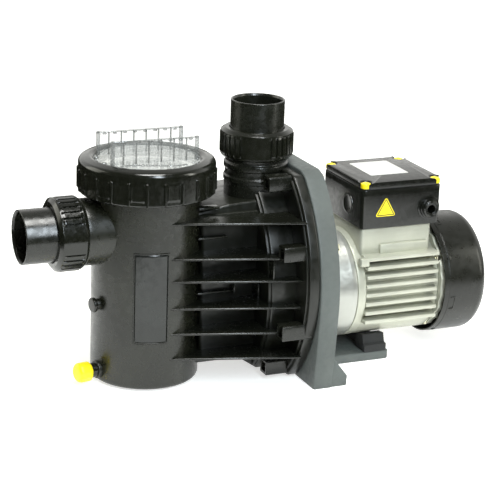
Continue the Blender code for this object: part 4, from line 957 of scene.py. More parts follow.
@dataclass
class TankPlug:
    """A screw plug in the tank's wall: a fluted knob on a stem."""

    place: Array
    radius: float
    length: float
    stem: float
    start: float
    flutes: int = 10
    collar: float = 7 * MM

    def knob(self) -> Shell:
        """The knob, its side drawn in by shallow flutes: the radius falls with the cosine of the angle."""
        round_edge = min(5 * MM, self.length / 3)
        line = soften([(0, self.start + self.length), (self.radius, self.start + self.length),
                       (self.radius, self.start), (0, self.start)], [0, round_edge, round_edge * 0.7, 0], 6,
                       False)
        side = [(self.radius, self.start + self.length * share) for share in (0.6, 0.5, 0.4)]
        rows = np.concatenate([line[:len(line) // 2], side, line[len(line) // 2:]])

        def flute(angle: Array, radius: Array, height: Array) -> Array:
            side = plateau(radius, self.radius * 0.8, 1.0, self.radius * 0.2)
            return -0.35 * MM * side * (0.5 - 0.5 * np.cos(self.flutes * angle))
        return turned(rows, 160, flute).moved(self.place)

    def neck(self) -> Shell:
        """The collar under the knob and the threaded stem in the wall."""
        face = 4.3 * MM
        line = [(0, self.start + 1 * MM), (self.collar, self.start + 1 * MM), (self.collar, face),
                (self.stem, face), *threads(self.stem, -6 * MM, face - 0.3 * MM, 1.5 * MM, 0.5 * MM)[::-1],
                (self.stem - 0.5 * MM, -6 * MM), (0, -6 * MM)]
        return turned(line, MEDIUM).moved(self.place)


# ------------------------------------------------------------------ unions
@dataclass
class Union:
    """A port's union: the glue spigot with its collar, and the ribbed nut, along the port's own axis."""

    side: str
    place: Array
    length: float
    pipe: float = PIPE_RADIUS
    bore: float = PIPE_BORE
    thread: float = THREAD_RADIUS
    nut_radius: float = 43.3 * MM
    nut_length: float = 34 * MM
    groups: int = 3
    grooves: int = 7
    pitch: float = math.radians(10.3)
    phase: float = 0.0

    def build(self) -> None:
        """Makes the spigot and the nut on their bodies."""
        put(f"{self.side}_spigot_pipe", self.spigot().moved(self.place), Finish.SPIGOT,
            f"{self.side}_pipe_end", "casing_plastic", f"{self.side}_spigot")
        put(f"{self.side}_nut_ribbed", self.nut().moved(self.place), Finish.GLOSS, f"{self.side}_nut",
            "nut_plastic", f"{self.side}_union_nut", sharp=48)

    def spigot(self) -> Shell:
        """The pipe end: chamfered mouth, plain outside, collar under the nut and straight bore."""
        line = soften([
            (self.bore, 12 * MM), (self.thread, 12 * MM), (self.thread, 18 * MM), (self.pipe, 18 * MM),
            (self.pipe, self.length), (self.bore + 1.2 * MM, self.length),
            (self.bore, self.length - 2.5 * MM)],
            [0.3 * MM, 0.6 * MM, 0.8 * MM, 0.8 * MM, 0.9 * MM, 0.3 * MM, 1 * MM], 4)
        return turned(line)

    def ribs(self, angle: Array, radius: Array, height: Array) -> Array:
        """The nut's outside: flat bars between narrow grooves, in groups with plain arcs between."""
        share = ((angle - self.phase) / (2 * math.pi) * self.groups) % 1.0
        local = share * 2 * math.pi / self.groups
        inside = local < self.grooves * self.pitch
        turn = (local / self.pitch) % 1.0
        groove = inside * (1 - plateau(turn, 0.13, 0.87, 0.07))
        bars = plateau(local, -0.02, self.grooves * self.pitch, 0.02)
        side = plateau(height, 4.5 * MM, self.nut_length - 5 * MM, 1.2 * MM)
        outer = radius > self.nut_radius - 4 * MM
        return side * outer * (0.9 * MM * bars * inside - 1.9 * MM * groove)

    def nut(self) -> Shell:
        """The nut's section: front ring with its bevel, ribbed side, rear bevel, and the bore and its lip."""
        face = self.nut_radius - 0.9 * MM
        lip = 18.3 * MM
        outside = soften([
            (self.pipe + 1.4 * MM, self.nut_length), (face - 5 * MM, self.nut_length),
            (face, self.nut_length - 3.4 * MM), (face, self.nut_length - 4.4 * MM)],
            [0.8 * MM, 2.2 * MM, 2 * MM, 0], 5, False)
        side = [(face, z) for z in np.linspace(self.nut_length - 4.8 * MM, 4.2 * MM, 16)]
        rear = soften([(face, 3.8 * MM), (face, 3 * MM), (face - 2.4 * MM, 0), (self.thread + 1 * MM, 0)],
                      [0, 1 * MM, 1 * MM, 0], 4, False)
        bore = self.thread + 0.5 * MM
        thread = threads(bore, 1.5 * MM, 11 * MM, 3 * MM, -1 * MM)
        inside = [(bore, 12 * MM), (bore, lip), (self.pipe + 0.5 * MM, lip),
                  (self.pipe + 0.5 * MM, self.nut_length - 1 * MM)]
        return turned(np.concatenate([outside, side, rear, thread, inside]), 1080, self.ribs)


# ------------------------------------------------------------------ pump casing
def barrel(half: float, arc: float, middle: float, low: float, high: float,
           corner: float = 4 * MM) -> Array:
    """A flat-topped outline in Y and Z whose sides are arcs of a circle that bulge to the half width."""
    angle = np.linspace(math.asin((low - middle) / arc), math.asin((high - middle) / arc), 40)
    side = np.column_stack([arc * np.cos(angle) - (arc - half), middle + arc * np.sin(angle)])
    whole = np.concatenate([side, side[::-1] * (-1, 1)])
    radii = np.zeros(len(whole))
    radii[[0, 39, 40, -1]] = corner
    return soften(whole, radii, 4)


def across_x(shell: Shell) -> Shell:
    """A shell modelled over (y, z) with its height along x, put into the frame's axes."""
    return shell.mapped(lambda p: p[:, [2, 0, 1]])


def across_y(shell: Shell) -> Shell:
    """A shell modelled over (x, z) with its height along y, put into the frame's axes."""
    return shell.mapped(lambda p: p[:, [0, 2, 1]])


@dataclass
class PumpCasing:
    """The volute moulding: core, drum, flange, ribs, bolt bosses, webs, roof and discharge neck."""

    tank_x: float
    flange_front: float = -36 * MM
    back: float = -23.4 * MM
    drum_front: float = -70 * MM
    core_half: float = 45 * MM
    rib_heights: tuple = (37.5 * MM, 68 * MM, 98.5 * MM, 131 * MM, 158 * MM, 200 * MM)
    rib_thick: float = 2.6 * MM
    discharge_x: float = -55 * MM
    port_z: float = 257 * MM
    bolts: tuple = ((52 * MM, 236 * MM), (101 * MM, 166 * MM), (104 * MM, 72 * MM), (62 * MM, 15 * MM))

    def build(self) -> None:
        """Makes the casing's surfaces on the root body."""
        parts = {
            "casing_core": (self.core(), Finish.CASING), "casing_drum": (self.drum(), Finish.CASING),
            "casing_flange": (self.flange(), Finish.CASING), "casing_ribs": (self.ribs(), Finish.RIB),
            "casing_bolt_bosses": (self.bosses(), Finish.RIB), "casing_webs": (self.webs(), Finish.RIB),
            "discharge_neck": (self.neck(), Finish.SPIGOT)}
        for name, (shell, finish) in parts.items():
            put(name, shell, finish, "root", "casing_plastic")

    def core(self) -> Shell:
        """The closed body between tank and drum, with its sloping belly and roof."""
        front, half = self.tank_x + 52 * MM, self.core_half
        body = prism(soften(rectangle((front, -half), (-60 * MM, half)), 4 * MM), 28 * MM, 202 * MM, 3 * MM)
        belly = soften([(front, 28 * MM), (-97 * MM, 28 * MM), (-64 * MM, 6 * MM), (-38 * MM, 6 * MM),
                        (-38 * MM, 60 * MM), (front, 60 * MM)], 2 * MM, 3)
        skirt = soften(rectangle((front - 6 * MM, 19 * MM), (-92 * MM, 36 * MM)), 1.5 * MM, 3)
        roof = soften([(front - 4 * MM, 196 * MM), (front - 4 * MM, 204 * MM), (-104 * MM, 211 * MM),
                       (-52 * MM, 214 * MM), (-52 * MM, 196 * MM)], 3 * MM, 4)
        return gathered([
            body, across_y(prism(belly, -half + 2 * MM, half - 2 * MM, 2 * MM)),
            across_y(prism(skirt, -half + 8 * MM, half - 8 * MM, 2 * MM)),
            across_y(prism(roof, 6 * MM - half, half - 6 * MM, 3 * MM, 4))])

    def drum(self) -> Shell:
        """The wide drum behind the flange, with a rounded front edge."""
        outline = barrel(86 * MM, 150 * MM, 110 * MM, 7 * MM, 224 * MM, 10 * MM)
        step = barrel(83 * MM, 147 * MM, 110 * MM, 9 * MM, 221 * MM, 10 * MM)
        back = prism(outline, self.drum_front + 3 * MM, self.flange_front + 3 * MM, 2 * MM)
        return gathered([across_x(back), across_x(prism(step, self.drum_front, -50 * MM, 1.2 * MM))])

    def flange(self) -> Shell:
        """The casing's flange, with a low bead on its front face just inside its edge."""
        outline = barrel(123 * MM, 160 * MM, 122 * MM, 3 * MM, 246 * MM, 12 * MM)
        bead = mm((5, 2), (5, -1.4), (5.8, -2), (7.2, -2), (8, -1.4), (8, 2))
        line = [(depth, self.flange_front + height) for depth, height in bead]
        return gathered([across_x(prism(outline, self.flange_front, self.back, 1.8 * MM, 4)),
                         across_x(swept(outline, line, False))])

    def ribs(self) -> Shell:
        """The level plates from the tank out to the flange, their edges fully rounded."""
        near, far = (self.tank_x + 6 * MM, 62.5 * MM), (self.flange_front + 2 * MM, 104 * MM)
        outline = soften([(near[0], -near[1]), (far[0], -far[1]), far, near], 1 * MM, 2)
        half = self.rib_thick / 2
        return gathered(prism(outline, z - half, z + half, 1.1 * MM, 4) for z in self.rib_heights)

    def sites(self) -> list:
        """The (y, z) of every casing bolt."""
        return [(side * y, z) for side in (-1, 1) for y, z in self.bolts]

    def bosses(self) -> Shell:
        """The square bosses round the bolts, each with a shallow core hole in its front face."""
        wall = mm((4, -58), (3.4, -63.6), (2.6, -64), (0.9, -64), (0.2, -63.5), (0, -62.5), (0, -24.5))
        half, shells = 9 * MM, []
        for y, z in self.sites():
            outline = soften(rectangle((y - half, z - half), (y + half, z + half)), 2 * MM, 3)
            shells.append(across_x(swept(outline, wall, True)))
        return gathered(shells)

    def webs(self) -> Shell:
        """Short upright webs and low ledges between the ribs, given in millimetres."""
        uprights = (-101.5, 57, 108, 119), (-73, 62, 99, 119), (-68, 92, 131, 157), (-73, 58, 52, 60)
        ledges = (-146, -101, 52, 110), (-146, -110, 51, 176), (-146, -120, 50, 211)
        half, shells = 1.3, []
        for side in (-1, 1):
            for x, reach, low, high in uprights:
                shells.append(beside(side, ((x - half) * MM, 40 * MM, low * MM),
                                     ((x + half) * MM, reach * MM, high * MM)))
            for x0, x1, reach, z in ledges:
                shells.append(beside(side, (x0 * MM, 38 * MM, (z - half) * MM),
                                     (x1 * MM, reach * MM, (z + half) * MM)))
        return gathered(shells)

    def neck(self) -> Shell:
        """The discharge neck: foot ring, waist, collar under the nut, thread, O-ring groove and bore."""
        bore, thread, top = PIPE_BORE, THREAD_RADIUS, 268.7 * MM
        outside = soften([
            (bore, 150 * MM), (37 * MM, 150 * MM), (37 * MM, 228 * MM), (38 * MM, 229 * MM),
            (38 * MM, 234 * MM), (36.4 * MM, 236 * MM), (36.4 * MM, 243 * MM), (37.8 * MM, 244.5 * MM),
            (37.8 * MM, 250 * MM), (35.6 * MM, 252 * MM), (35.6 * MM, 256.7 * MM)], 1.2 * MM, 4, False)
        thread_line = threads(thread, 257.5 * MM, 268 * MM, 3 * MM, 1.2 * MM)
        groove = [(34.4 * MM, top), (34.4 * MM, top - 3.6 * MM), (30.2 * MM, top - 3.6 * MM),
                  (30.2 * MM, top), (bore, top)]
        return turned(np.concatenate([outside, thread_line, groove])).shifted(self.discharge_x, 0, 0)


# ------------------------------------------------------------------ flange plate and bolts
@dataclass
class FlangePlate:
    """The cast plate between pump and motor, hollowed behind its rim, with foot, gussets and motor bar."""

    front: float = -23 * MM
    back: float = 1 * MM
    half: float = 126 * MM
    arc: float = 188 * MM
    middle: float = 110 * MM
    high: float = 250 * MM
    foot_half: float = 115 * MM
    foot_thick: float = 12 * MM
    rim: float = 9 * MM
    web: float = 9 * MM

    def build(self, sites: list) -> None:
        """Makes the plate and its bolts.

        Args:
            sites: The (y, z) of each casing bolt.
        """
        put("flange_plate_cast", self.plate(sites), Finish.FLANGE, "root", "flange_grey", "flange_plate",
            holes=self.holes(sites))
        half = len(sites) // 2
        for index, (y, z) in enumerate(sites):
            node = f"casing_bolt_{('near', 'far')[index // half]}_{index % half + 1}"
            place = Toward.X.at(self.back + 0.3 * MM, y, z)
            put(node + "_hex", self.bolt().moved(place), Finish.ZINC, "root", "zinc_plate", node)

    def outline(self) -> Array:
        """The plate seen along the shaft: flat crown, arched shoulders, sides that run down to the foot."""
        angle = np.linspace(math.radians(-5), math.asin((self.high - self.middle) / self.arc), 30)
        arc = np.column_stack([self.arc * np.cos(angle) - (self.arc - self.half),
                               self.middle + self.arc * np.sin(angle)])
        arc[-1, 0] -= 8 * MM
        side = np.concatenate([[(self.foot_half, 0.0), (self.half - 5 * MM, 45 * MM)], arc])
        whole = np.concatenate([side, side[::-1] * (-1, 1)])
        radii = np.zeros(len(whole))
        radii[[1, len(side) - 1, len(side), -2]] = [20 * MM, 9 * MM, 9 * MM, 20 * MM]
        return soften(whole, radii, 5)

    def plate(self, sites: list) -> Shell:
        """The web, the rim round it, hub, bolt bosses, stiffeners, foot, gussets and bar."""
        outline = self.outline()
        low, high = self.front + self.web - 1 * MM, self.back
        rim = [(0, self.front + 2 * MM), (0, high - 1.2 * MM), (0.4 * MM, high - 0.4 * MM),
               (1.2 * MM, high), (self.rim - 1 * MM, high), (self.rim, high - 1 * MM),
               (self.rim + 1 * MM, low)]
        shells = [across_x(prism(outline, self.front, self.front + self.web, 2 * MM, 4)),
                  across_x(swept(outline, rim, False))]
        hub = turned(soften([(26 * MM, self.front + 2 * MM), (66 * MM, self.front + 2 * MM),
                             (66 * MM, high), (26 * MM, high)], 1 * MM, 3))
        shells.append(hub.moved(Toward.X.at(0, 0, SHAFT_Z)))
        boss = rod(9.5 * MM, low, high + 0.2 * MM, 0.8 * MM)
        shells += [boss.moved(Toward.X.at(0, y, z)) for y, z in sites]
        for y in (-40 * MM, 0.0, 40 * MM):
            shells.append(brick((low, y - 2 * MM, 10 * MM), (high - 1 * MM, y + 2 * MM, 246 * MM), 1 * MM))
        foot = soften(rectangle((self.front, -self.foot_half), (21 * MM, self.foot_half)), 2 * MM, 3)
        shells.append(prism(foot, 0, self.foot_thick, 1.6 * MM))
        bar = soften(rectangle((0, -50 * MM), (110 * MM, 50 * MM)), 5 * MM, 5)
        shells.append(prism(bar, 0, 11 * MM, 1.6 * MM))
        gusset = soften([(self.back - 3 * MM, 36 * MM), (self.back + 1 * MM, 36 * MM), (21 * MM, 12.6 * MM),
                         (21 * MM, 8 * MM), (self.back - 3 * MM, 8 * MM)], 1.2 * MM, 3)
        for y in (-self.foot_half, self.foot_half - 8 * MM):
            shells.append(across_y(prism(gusset, y, y + 8 * MM, 1 * MM)))
        return gathered(shells)

    def holes(self, sites: list) -> Shell:
        """The cutters for the anchor holes and the spanner recesses behind the lowest bolts."""
        anchors = [rod(4.5 * MM, -20 * MM, 30 * MM, 0).shifted(12 * MM, y, 0) for y in (-88 * MM, 88 * MM)]
        recess = rod(8.6 * MM, self.back + 0.25 * MM, 30 * MM, 0)
        recesses = [recess.moved(Toward.X.at(0, y, z)) for y, z in sites if z < 30 * MM]
        return gathered(anchors + recesses)

    def bolt(self) -> Shell:
        """A hexagon head with a rounded face and a pressed washer under it."""
        head = prism(circle(7.3 * MM, 6, phase=math.radians(30)), 0.4 * MM, 6 * MM, 0.9 * MM, 4)
        washer = ring(3 * MM, 7.4 * MM, 0, 1.2 * MM, 0.3 * MM)
        return gathered([head, washer, rod(4 * MM, -50 * MM, 1 * MM)])


# ------------------------------------------------------------------ motor
@dataclass
class Motor:
    """The motor's outside: conical shield, finned housing, pedestal, rear shield, cowl and support block."""

    radius: float = 66.7 * MM
    shield: tuple = (1.3 * MM, 55 * MM, 62 * MM)
    housing: tuple = (55.3 * MM, 168 * MM)
    fin_x: tuple = (66 * MM, 163 * MM)
    fin_z: tuple = (56 * MM, 135 * MM)
    fin_half: float = 67 * MM
    fin_count: int = 8
    root_radius: float = 58.6 * MM
    pedestal: tuple = (63 * MM, 158 * MM, 50 * MM, 169 * MM)
    cowl: tuple = (170 * MM, 230 * MM, 74 * MM)
    slots: int = 12

    def build(self) -> None:
        """Makes every outside piece of the motor."""
        along = Toward.X.at(0, 0, SHAFT_Z)
        put("motor_front_shield", self.front_shield().moved(along), Finish.TURNED, "root",
            "motor_aluminium", "front_shield")
        put("motor_shield_lugs", self.shield_lugs().moved(along), Finish.MOTOR, "root", "motor_aluminium")
        put("motor_shell", self.shell(), Finish.MOTOR, "root", "motor_aluminium", "motor_housing")
        put("motor_fins", self.fins(), Finish.MOTOR, "root", "motor_aluminium")
        put("motor_pedestal", self.pedestal_block(), Finish.MOTOR, "root", "motor_aluminium")
        put("motor_tie_bolts", self.tie_bolts().moved(along), Finish.ZINC, "root", "motor_aluminium")
        put("motor_rear_shield", self.rear_shield().moved(along), Finish.MOTOR, "root", "motor_aluminium",
            "rear_shield")
        put("motor_cowl", self.cowl_shell().moved(along), Finish.COWL, "root", "cowl_plastic", "fan_cowl",
            holes=self.cowl_slots().moved(along))
        put("motor_cowl_clips", self.cowl_clips().moved(along), Finish.COWL, "root", "cowl_plastic")
        put("motor_support_block", self.support(), Finish.RUBBER, "root", "black_rubber", "motor_support")

    def front_shield(self) -> Shell:
        """The cone from the flange plate to the housing, with a dark joint line at its back edge."""
        low, high, small = self.shield
        return turned(soften([
            (16 * MM, low), (small - 5 * MM, low), (small - 3 * MM, low + 1 * MM), (small, low + 4 * MM),
            (self.radius - 0.4 * MM, high - 9 * MM), (self.radius, high - 6 * MM), (self.radius, high),
            (self.radius - 5 * MM, high), (small - 6 * MM, low + 8 * MM), (30 * MM, low + 8 * MM),
            (30 * MM, low + 24 * MM), (24 * MM, low + 24 * MM), (24 * MM, low + 7 * MM),
            (16 * MM, low + 7 * MM)], 1.4 * MM, 4))

    def shield_lugs(self) -> Shell:
        """The four lugs on the cone's front rim that take the motor's screws."""
        lug = brick((self.shield[2] - 8 * MM, -8 * MM, 1.5 * MM), (self.radius - 1 * MM, 8 * MM, 10 * MM),
                    2 * MM)
        head = rod(4.6 * MM, 9 * MM, 14 * MM, 0.8 * MM, 6).shifted(self.shield[2] - 1.5 * MM, 0, 0)
        return gathered([around(lug, 4, math.radians(45)), around(head, 4, math.radians(45))])

    def shell(self) -> Shell:
        """The round body: front collar, barrel under the fins, smooth belly and bored inside."""
        low, high = self.housing
        body = turned(soften([
            (56.5 * MM, low), (self.radius, low), (self.radius, self.fin_x[0]),
            (self.root_radius, self.fin_x[0] + 2 * MM), (self.root_radius, high), (56.5 * MM, high)],
            [0.5 * MM, 1.2 * MM, 1.5 * MM, 2 * MM, 0.5 * MM, 0.5 * MM], 4))
        angle = np.radians(np.linspace(-180 + 34, -34, 73))
        outer, inner = self.radius - 0.5 * MM, 59 * MM
        arc = np.concatenate([np.column_stack([outer * np.cos(angle), outer * np.sin(angle)]),
                              np.column_stack([inner * np.cos(angle), inner * np.sin(angle)])[::-1]])
        belly = across_x(prism(arc + (0, SHAFT_Z), self.fin_x[0] - 2 * MM, self.fin_x[1] + 1 * MM, 1 * MM))
        lugs = []
        for y in (-67 * MM, 58 * MM):
            seat = soften(rectangle((y, 127 * MM), (y + 9 * MM, 137 * MM)), 1.5 * MM, 3)
            lugs.append(across_x(prism(seat, 57 * MM, 68 * MM, 1 * MM)))
        return gathered([body.moved(Toward.X.at(0, 0, SHAFT_Z)), belly, *lugs])

    def fins(self) -> Shell:
        """The level fins on both sides: each tapers to its tip and thins towards its front end."""
        shells = []
        for z in np.linspace(*self.fin_z, self.fin_count):
            root = math.sqrt(self.root_radius ** 2 - (z - SHAFT_Z) ** 2) - 2 * MM
            for side in (-1, 1):
                outline = [(side * root, z - 3 * MM), (side * self.fin_half, z - 2.2 * MM),
                           (side * self.fin_half, z + 2.2 * MM), (side * root, z + 3 * MM)]
                fin = across_x(prism(soften(outline, 1.2 * MM, 3), *self.fin_x, 1.5 * MM, 4))
                shells.append(fin)
        return gathered(shells)

    def pedestal_block(self) -> Shell:
        """The raised seat for the terminal box, with a stepped panel low on each side."""
        low, high, half, top = self.pedestal
        body = prism(soften(rectangle((low, -half), (high, half)), 5 * MM, 5), self.fin_z[1] - 4 * MM, top,
                     1.4 * MM)
        shells = [body]
        for side in (-1, 1):
            shells.append(beside(side, (88 * MM, half - 4 * MM, 134 * MM),
                                 (152 * MM, half + 4 * MM, 149 * MM), 1.6 * MM))
            shells.append(beside(side, (65 * MM, half - 6 * MM, 133 * MM),
                                 (162 * MM, half + 7 * MM, 137.5 * MM), 1.2 * MM))
        return gathered(shells)

    def tie_bolts(self) -> Shell:
        """The tie bolts' heads and the nuts on the rear shield's lugs."""
        nut = prism(circle(4.4 * MM, 6), 165 * MM, 170.5 * MM, 0.7 * MM).shifted(63 * MM, 0, 0)
        rods = rod(2.4 * MM, 150 * MM, 173 * MM, 0.6 * MM, 24).shifted(63 * MM, 0, 0)
        return gathered([around(gathered([nut, rods]), 4, math.radians(57))])

    def rear_shield(self) -> Shell:
        """The rear shield, its edge scalloped: the radius swells with the cosine of the angle."""
        low, high = self.housing[1] + 0.3 * MM, 175 * MM
        line = soften([(26 * MM, low), (self.radius - 1.5 * MM, low), (self.radius - 1.5 * MM, high),
                       (13 * MM, high), (13 * MM, high - 3 * MM), (26 * MM, high - 3 * MM)], 0.8 * MM, 3)

        def scallop(angle: Array, radius: Array, height: Array) -> Array:
            return (radius > self.radius - 4 * MM) * (0.6 * MM + 0.9 * MM * np.cos(22 * angle))
        return turned(line, 352, scallop)

    def cowl_shell(self) -> Shell:
        """The cowl: a shallow band at its mouth, plain side and a large rounded back edge."""
        low, high, radius = self.cowl
        wall = 1.6 * MM
        line = soften([
            (0, high), (radius, high), (radius, low + 7 * MM), (radius - 0.6 * MM, low + 6 * MM),
            (radius - 0.6 * MM, low), (radius - wall - 0.6 * MM, low),
            (radius - wall - 0.6 * MM, low + 6 * MM), (radius - wall, high - wall), (0, high - wall)],
            [0, 13 * MM, 0.5 * MM, 0.5 * MM, 0.4 * MM, 0.3 * MM, 0, 11.5 * MM, 0], 10, False)
        return turned(line, 192)

    def cowl_slots(self) -> Shell:
        """The cutters for the radial air slots in the cowl's end."""
        low, high = self.cowl[1] - 6 * MM, self.cowl[1] + 6 * MM
        shells = []
        for start, end, count in ((18 * MM, 36 * MM, self.slots), (41 * MM, 57 * MM, 2 * self.slots)):
            outline = soften(rectangle((start, -2.2 * MM), (end, 2.2 * MM)), 2.1 * MM, 5)
            shells.append(around(prism(outline, low, high, 0, 1), count))
        return gathered(shells)

    def cowl_clips(self) -> Shell:
        """The snap clips near the cowl's mouth and the screws in its side."""
        low, _, radius = self.cowl
        inner, outer, half = radius - 1.2 * MM, radius + 0.5 * MM, 9 * MM
        legs = [beside(side, (inner, 7.4 * MM, low + 9 * MM), (outer, half, low + 15 * MM), 0.5 * MM)
                for side in (-1, 1)]
        bridge = brick((inner, -half, low + 14 * MM), (outer, half, low + 15.4 * MM), 0.5 * MM)
        clip = gathered([*legs, bridge])
        screw = rod(2.6 * MM, -1 * MM, 0.6 * MM, 0.4 * MM, 24).moved(Toward.X.at(radius, 0, low + 8 * MM))
        return gathered([around(clip, 4, math.radians(15)), around(screw, 4, math.radians(60))])

    def support(self) -> Shell:
        """The block under the motor: two stepped feet that a saddle cut to the motor's round joins."""
        low, high, half, base, top = 76 * MM, 105 * MM, 50 * MM, 11.3 * MM, 32 * MM
        angle = np.radians(np.linspace(-90 + 4, -90 + 46, 15))
        reach = 67.1 * MM
        curve = np.column_stack([reach * np.cos(angle), SHAFT_Z + reach * np.sin(angle)])
        shells = []
        for side in (-1, 1):
            foot = [(24 * MM, base), (half, base), (half, 20 * MM), (half - 4 * MM, 22 * MM),
                    (half - 7 * MM, top)]
            inner = curve[(curve[:, 0] > 24 * MM) & (curve[:, 1] < top)][::-1]
            outline = np.concatenate([foot, inner]) * (side, 1)
            shells.append(across_x(prism(outline, low, high, 0.8 * MM)))
            head = rod(3.4 * MM, 18 * MM, 22.5 * MM, 0.8 * MM, 6)
            shells.append(head.shifted(high - 1 * MM, side * 38 * MM, 0))
            shells.append(beside(side, (high - 2 * MM, 26 * MM, base), (high + 3 * MM, 46 * MM, 19 * MM),
                                 1 * MM))
        across = curve[curve[:, 0] < 30 * MM]
        saddle = np.concatenate([[(-26 * MM, base), (26 * MM, base)], across[::-1], across * (-1, 1)])
        shells.append(across_x(prism(saddle, low + 6 * MM, high - 4 * MM, 0.6 * MM)))
        return gathered(shells)


# ------------------------------------------------------------------ terminal box
@dataclass
class TerminalBox:
    """The terminal box on the motor: box, lid with its blank plate, corner screws, gland and warning sign."""

    x: tuple = (61 * MM, 167 * MM)
    half: float = 53.5 * MM
    z: tuple = (169.3 * MM, 217.4 * MM)
    lid_z: tuple = (218.9 * MM, 226.2 * MM)
    corner: float = 6.5 * MM
    wall: float = 3 * MM
    screw: float = 6.2 * MM
    gland_x: float = 150.5 * MM
    gland_z: float = 190 * MM
    sign_radius: float = 16 * MM

    def build(self) -> None:
        """Makes the box, the lid with what is on it, the screws and the gland."""
        put("box_body", self.body(), Finish.BOX, "root", "box_plastic", "terminal_box",
            holes=self.box_holes())
        put("box_side_details", self.side_details(), Finish.BOX, "root", "box_plastic")
        put("box_sign_yellow", self.sign(), Finish.YELLOW, "root", "yellow_plastic")
        put("box_sign_border", self.sign_border(), Finish.SIGN_BLACK, "root", "box_plastic")
        put("box_lid_moulding", self.lid(), Finish.BOX, "box_lid", "box_plastic", "terminal_lid")
        put("box_lid_plate", self.plate(), Finish.PLATE, "box_lid", "steel")
        for index, (x, y) in enumerate(self.corners()):
            put(f"box_corner_screw_{index + 1}", self.cap().shifted(x, y, 0), Finish.YELLOW,
                f"screw_{index + 1}", "yellow_plastic", f"lid_screw_{index + 1}")
        put("box_cable_gland", self.gland().moved(self.gland_place()), Finish.BOX, "gland", "box_plastic",
            "cable_gland", sharp=40)

    def corners(self) -> list:
        """The centres of the four corner screws."""
        inset_x, inset_y = self.corner, self.half - self.corner
        return [(x, y) for y in (-inset_y, inset_y) for x in (self.x[0] + inset_x, self.x[1] - inset_x)]

    def outline(self, depth: float = 0.0) -> Array:
        """The box's outline, moved inwards by a depth."""
        low, high = self.x[0] + depth, self.x[1] - depth
        return soften(rectangle((low, depth - self.half), (high, self.half - depth)),
                      max(self.corner - depth, 1 * MM), 8)

    def body(self) -> Shell:
        """The open-topped box: outside with a bead under the lid, inside, and corner posts."""
        low, high = self.z
        wall = self.wall
        profile = [(6 * MM, low), (1.2 * MM, low), (0.4 * MM, low + 0.6 * MM), (0.2 * MM, low + 2 * MM),
                   (0, high - 8 * MM), (0, high - 0.8 * MM), (0.3 * MM, high - 0.2 * MM), (0.8 * MM, high),
                   (wall - 0.4 * MM, high), (wall, high - 0.4 * MM), (wall, low + wall),
                   (6 * MM, low + wall)]
        shells = [swept(self.outline(), profile, False)]
        shells.append(prism(inset(self.outline(), 5 * MM), low + 0.1 * MM, low + wall - 0.1 * MM, 0.2 * MM))
        post = rod(5.4 * MM, low + 1 * MM, high - 0.1 * MM, 0.4 * MM, 32)
        shells += [post.shifted(x, y, 0) for x, y in self.corners()]
        return gathered(shells)

    def box_holes(self) -> Shell:
        """The cutters for the screw holes, the gland's hole and the wire passage."""
        low, high = self.z
        screw = rod(2.5 * MM, high - 16 * MM, high + 5 * MM, 0, 24)
        holes = [screw.shifted(x, y, 0) for x, y in self.corners()]
        holes.append(rod(8.3 * MM, -6 * MM, 6 * MM, 0, 32).moved(self.gland_place()))
        holes.append(rod(12 * MM, low - 5 * MM, low + 8 * MM, 0, 32).shifted(sum(self.x) / 2, 0, 0))
        return gathered(holes)

    def gland_place(self) -> Array:
        """Where the gland leaves the near side."""
        return Toward.MINUS_Y.at(self.gland_x, -self.half, self.gland_z)

    def side_details(self) -> Shell:
        """The round knock-out on the front side and the rings round the gland's hole."""
        front = Toward.MINUS_X.at(self.x[0], -16 * MM, 192.7 * MM)
        section = mm((0, 0.15), (9.5, 0.15), (10, 0.9), (12.5, 0.9), (13, -1), (0, -1))
        knock = turned(soften(section, 0.3 * MM, 2, False), MEDIUM)
        seat = ring(8.6 * MM, 14.5 * MM, -1 * MM, 0.8 * MM, 0.4 * MM)
        return gathered([knock.moved(front), seat.moved(self.gland_place())])

    def sign_outline(self) -> Array:
        """A triangle with rounded corners, its point up, in X and Z of the near side."""
        corners = circle(self.sign_radius, 3, (92.5 * MM, 192 * MM), math.pi / 2)
        return soften(corners, self.sign_radius * 0.12, 5)

    def sign(self) -> Shell:
        """A thin triangular plate on the near side."""
        return across_y(prism(self.sign_outline(), -self.half - 0.35 * MM, -self.half + 0.5 * MM, 0.05 * MM,
                              1))

    def sign_border(self) -> Shell:
        """The plain black border printed on the sign, a little inside its edge."""
        back, face = -self.half - 0.25 * MM, -self.half - 0.45 * MM
        profile = [(1.1 * MM, back), (1.1 * MM, face), (2.1 * MM, face), (2.1 * MM, back)]
        return across_y(swept(self.sign_outline(), profile, False))

    def notched(self) -> Array:
        """The lid's outline, each corner hollowed by an arc about its screw, a little wider than the cap."""
        reach = self.screw + 0.4 * MM
        near, far = math.degrees(math.asin(self.corner / reach)), 90.0
        arcs = []
        for index, place in enumerate(rectangle(*self.corner_box())):
            first = 180 - (far - near) + 90 * index
            angle = np.radians(first - np.linspace(0, 90 + 2 * near, 21))
            arcs.append(np.column_stack([place[0] + reach * np.cos(angle),
                                         place[1] + reach * np.sin(angle)]))
        return np.concatenate(arcs)

    def corner_box(self) -> tuple:
        """The low and high corner of the rectangle through the four screws."""
        reach = self.half - self.corner
        return (self.x[0] + self.corner, -reach), (self.x[1] - self.corner, reach)

    def lid(self) -> Shell:
        """The lid: upright rim, large soft edge and a faintly crowned top."""
        low, high = self.lid_z
        soft = 2.6 * MM
        angle = np.linspace(0, math.pi / 2, 7)
        edge = np.column_stack([soft * (1 - np.cos(angle)), high - soft * (1 - np.sin(angle))])
        return swept(self.notched(), [(0.6 * MM, low), (0, low + 0.6 * MM), *edge.tolist()], True)

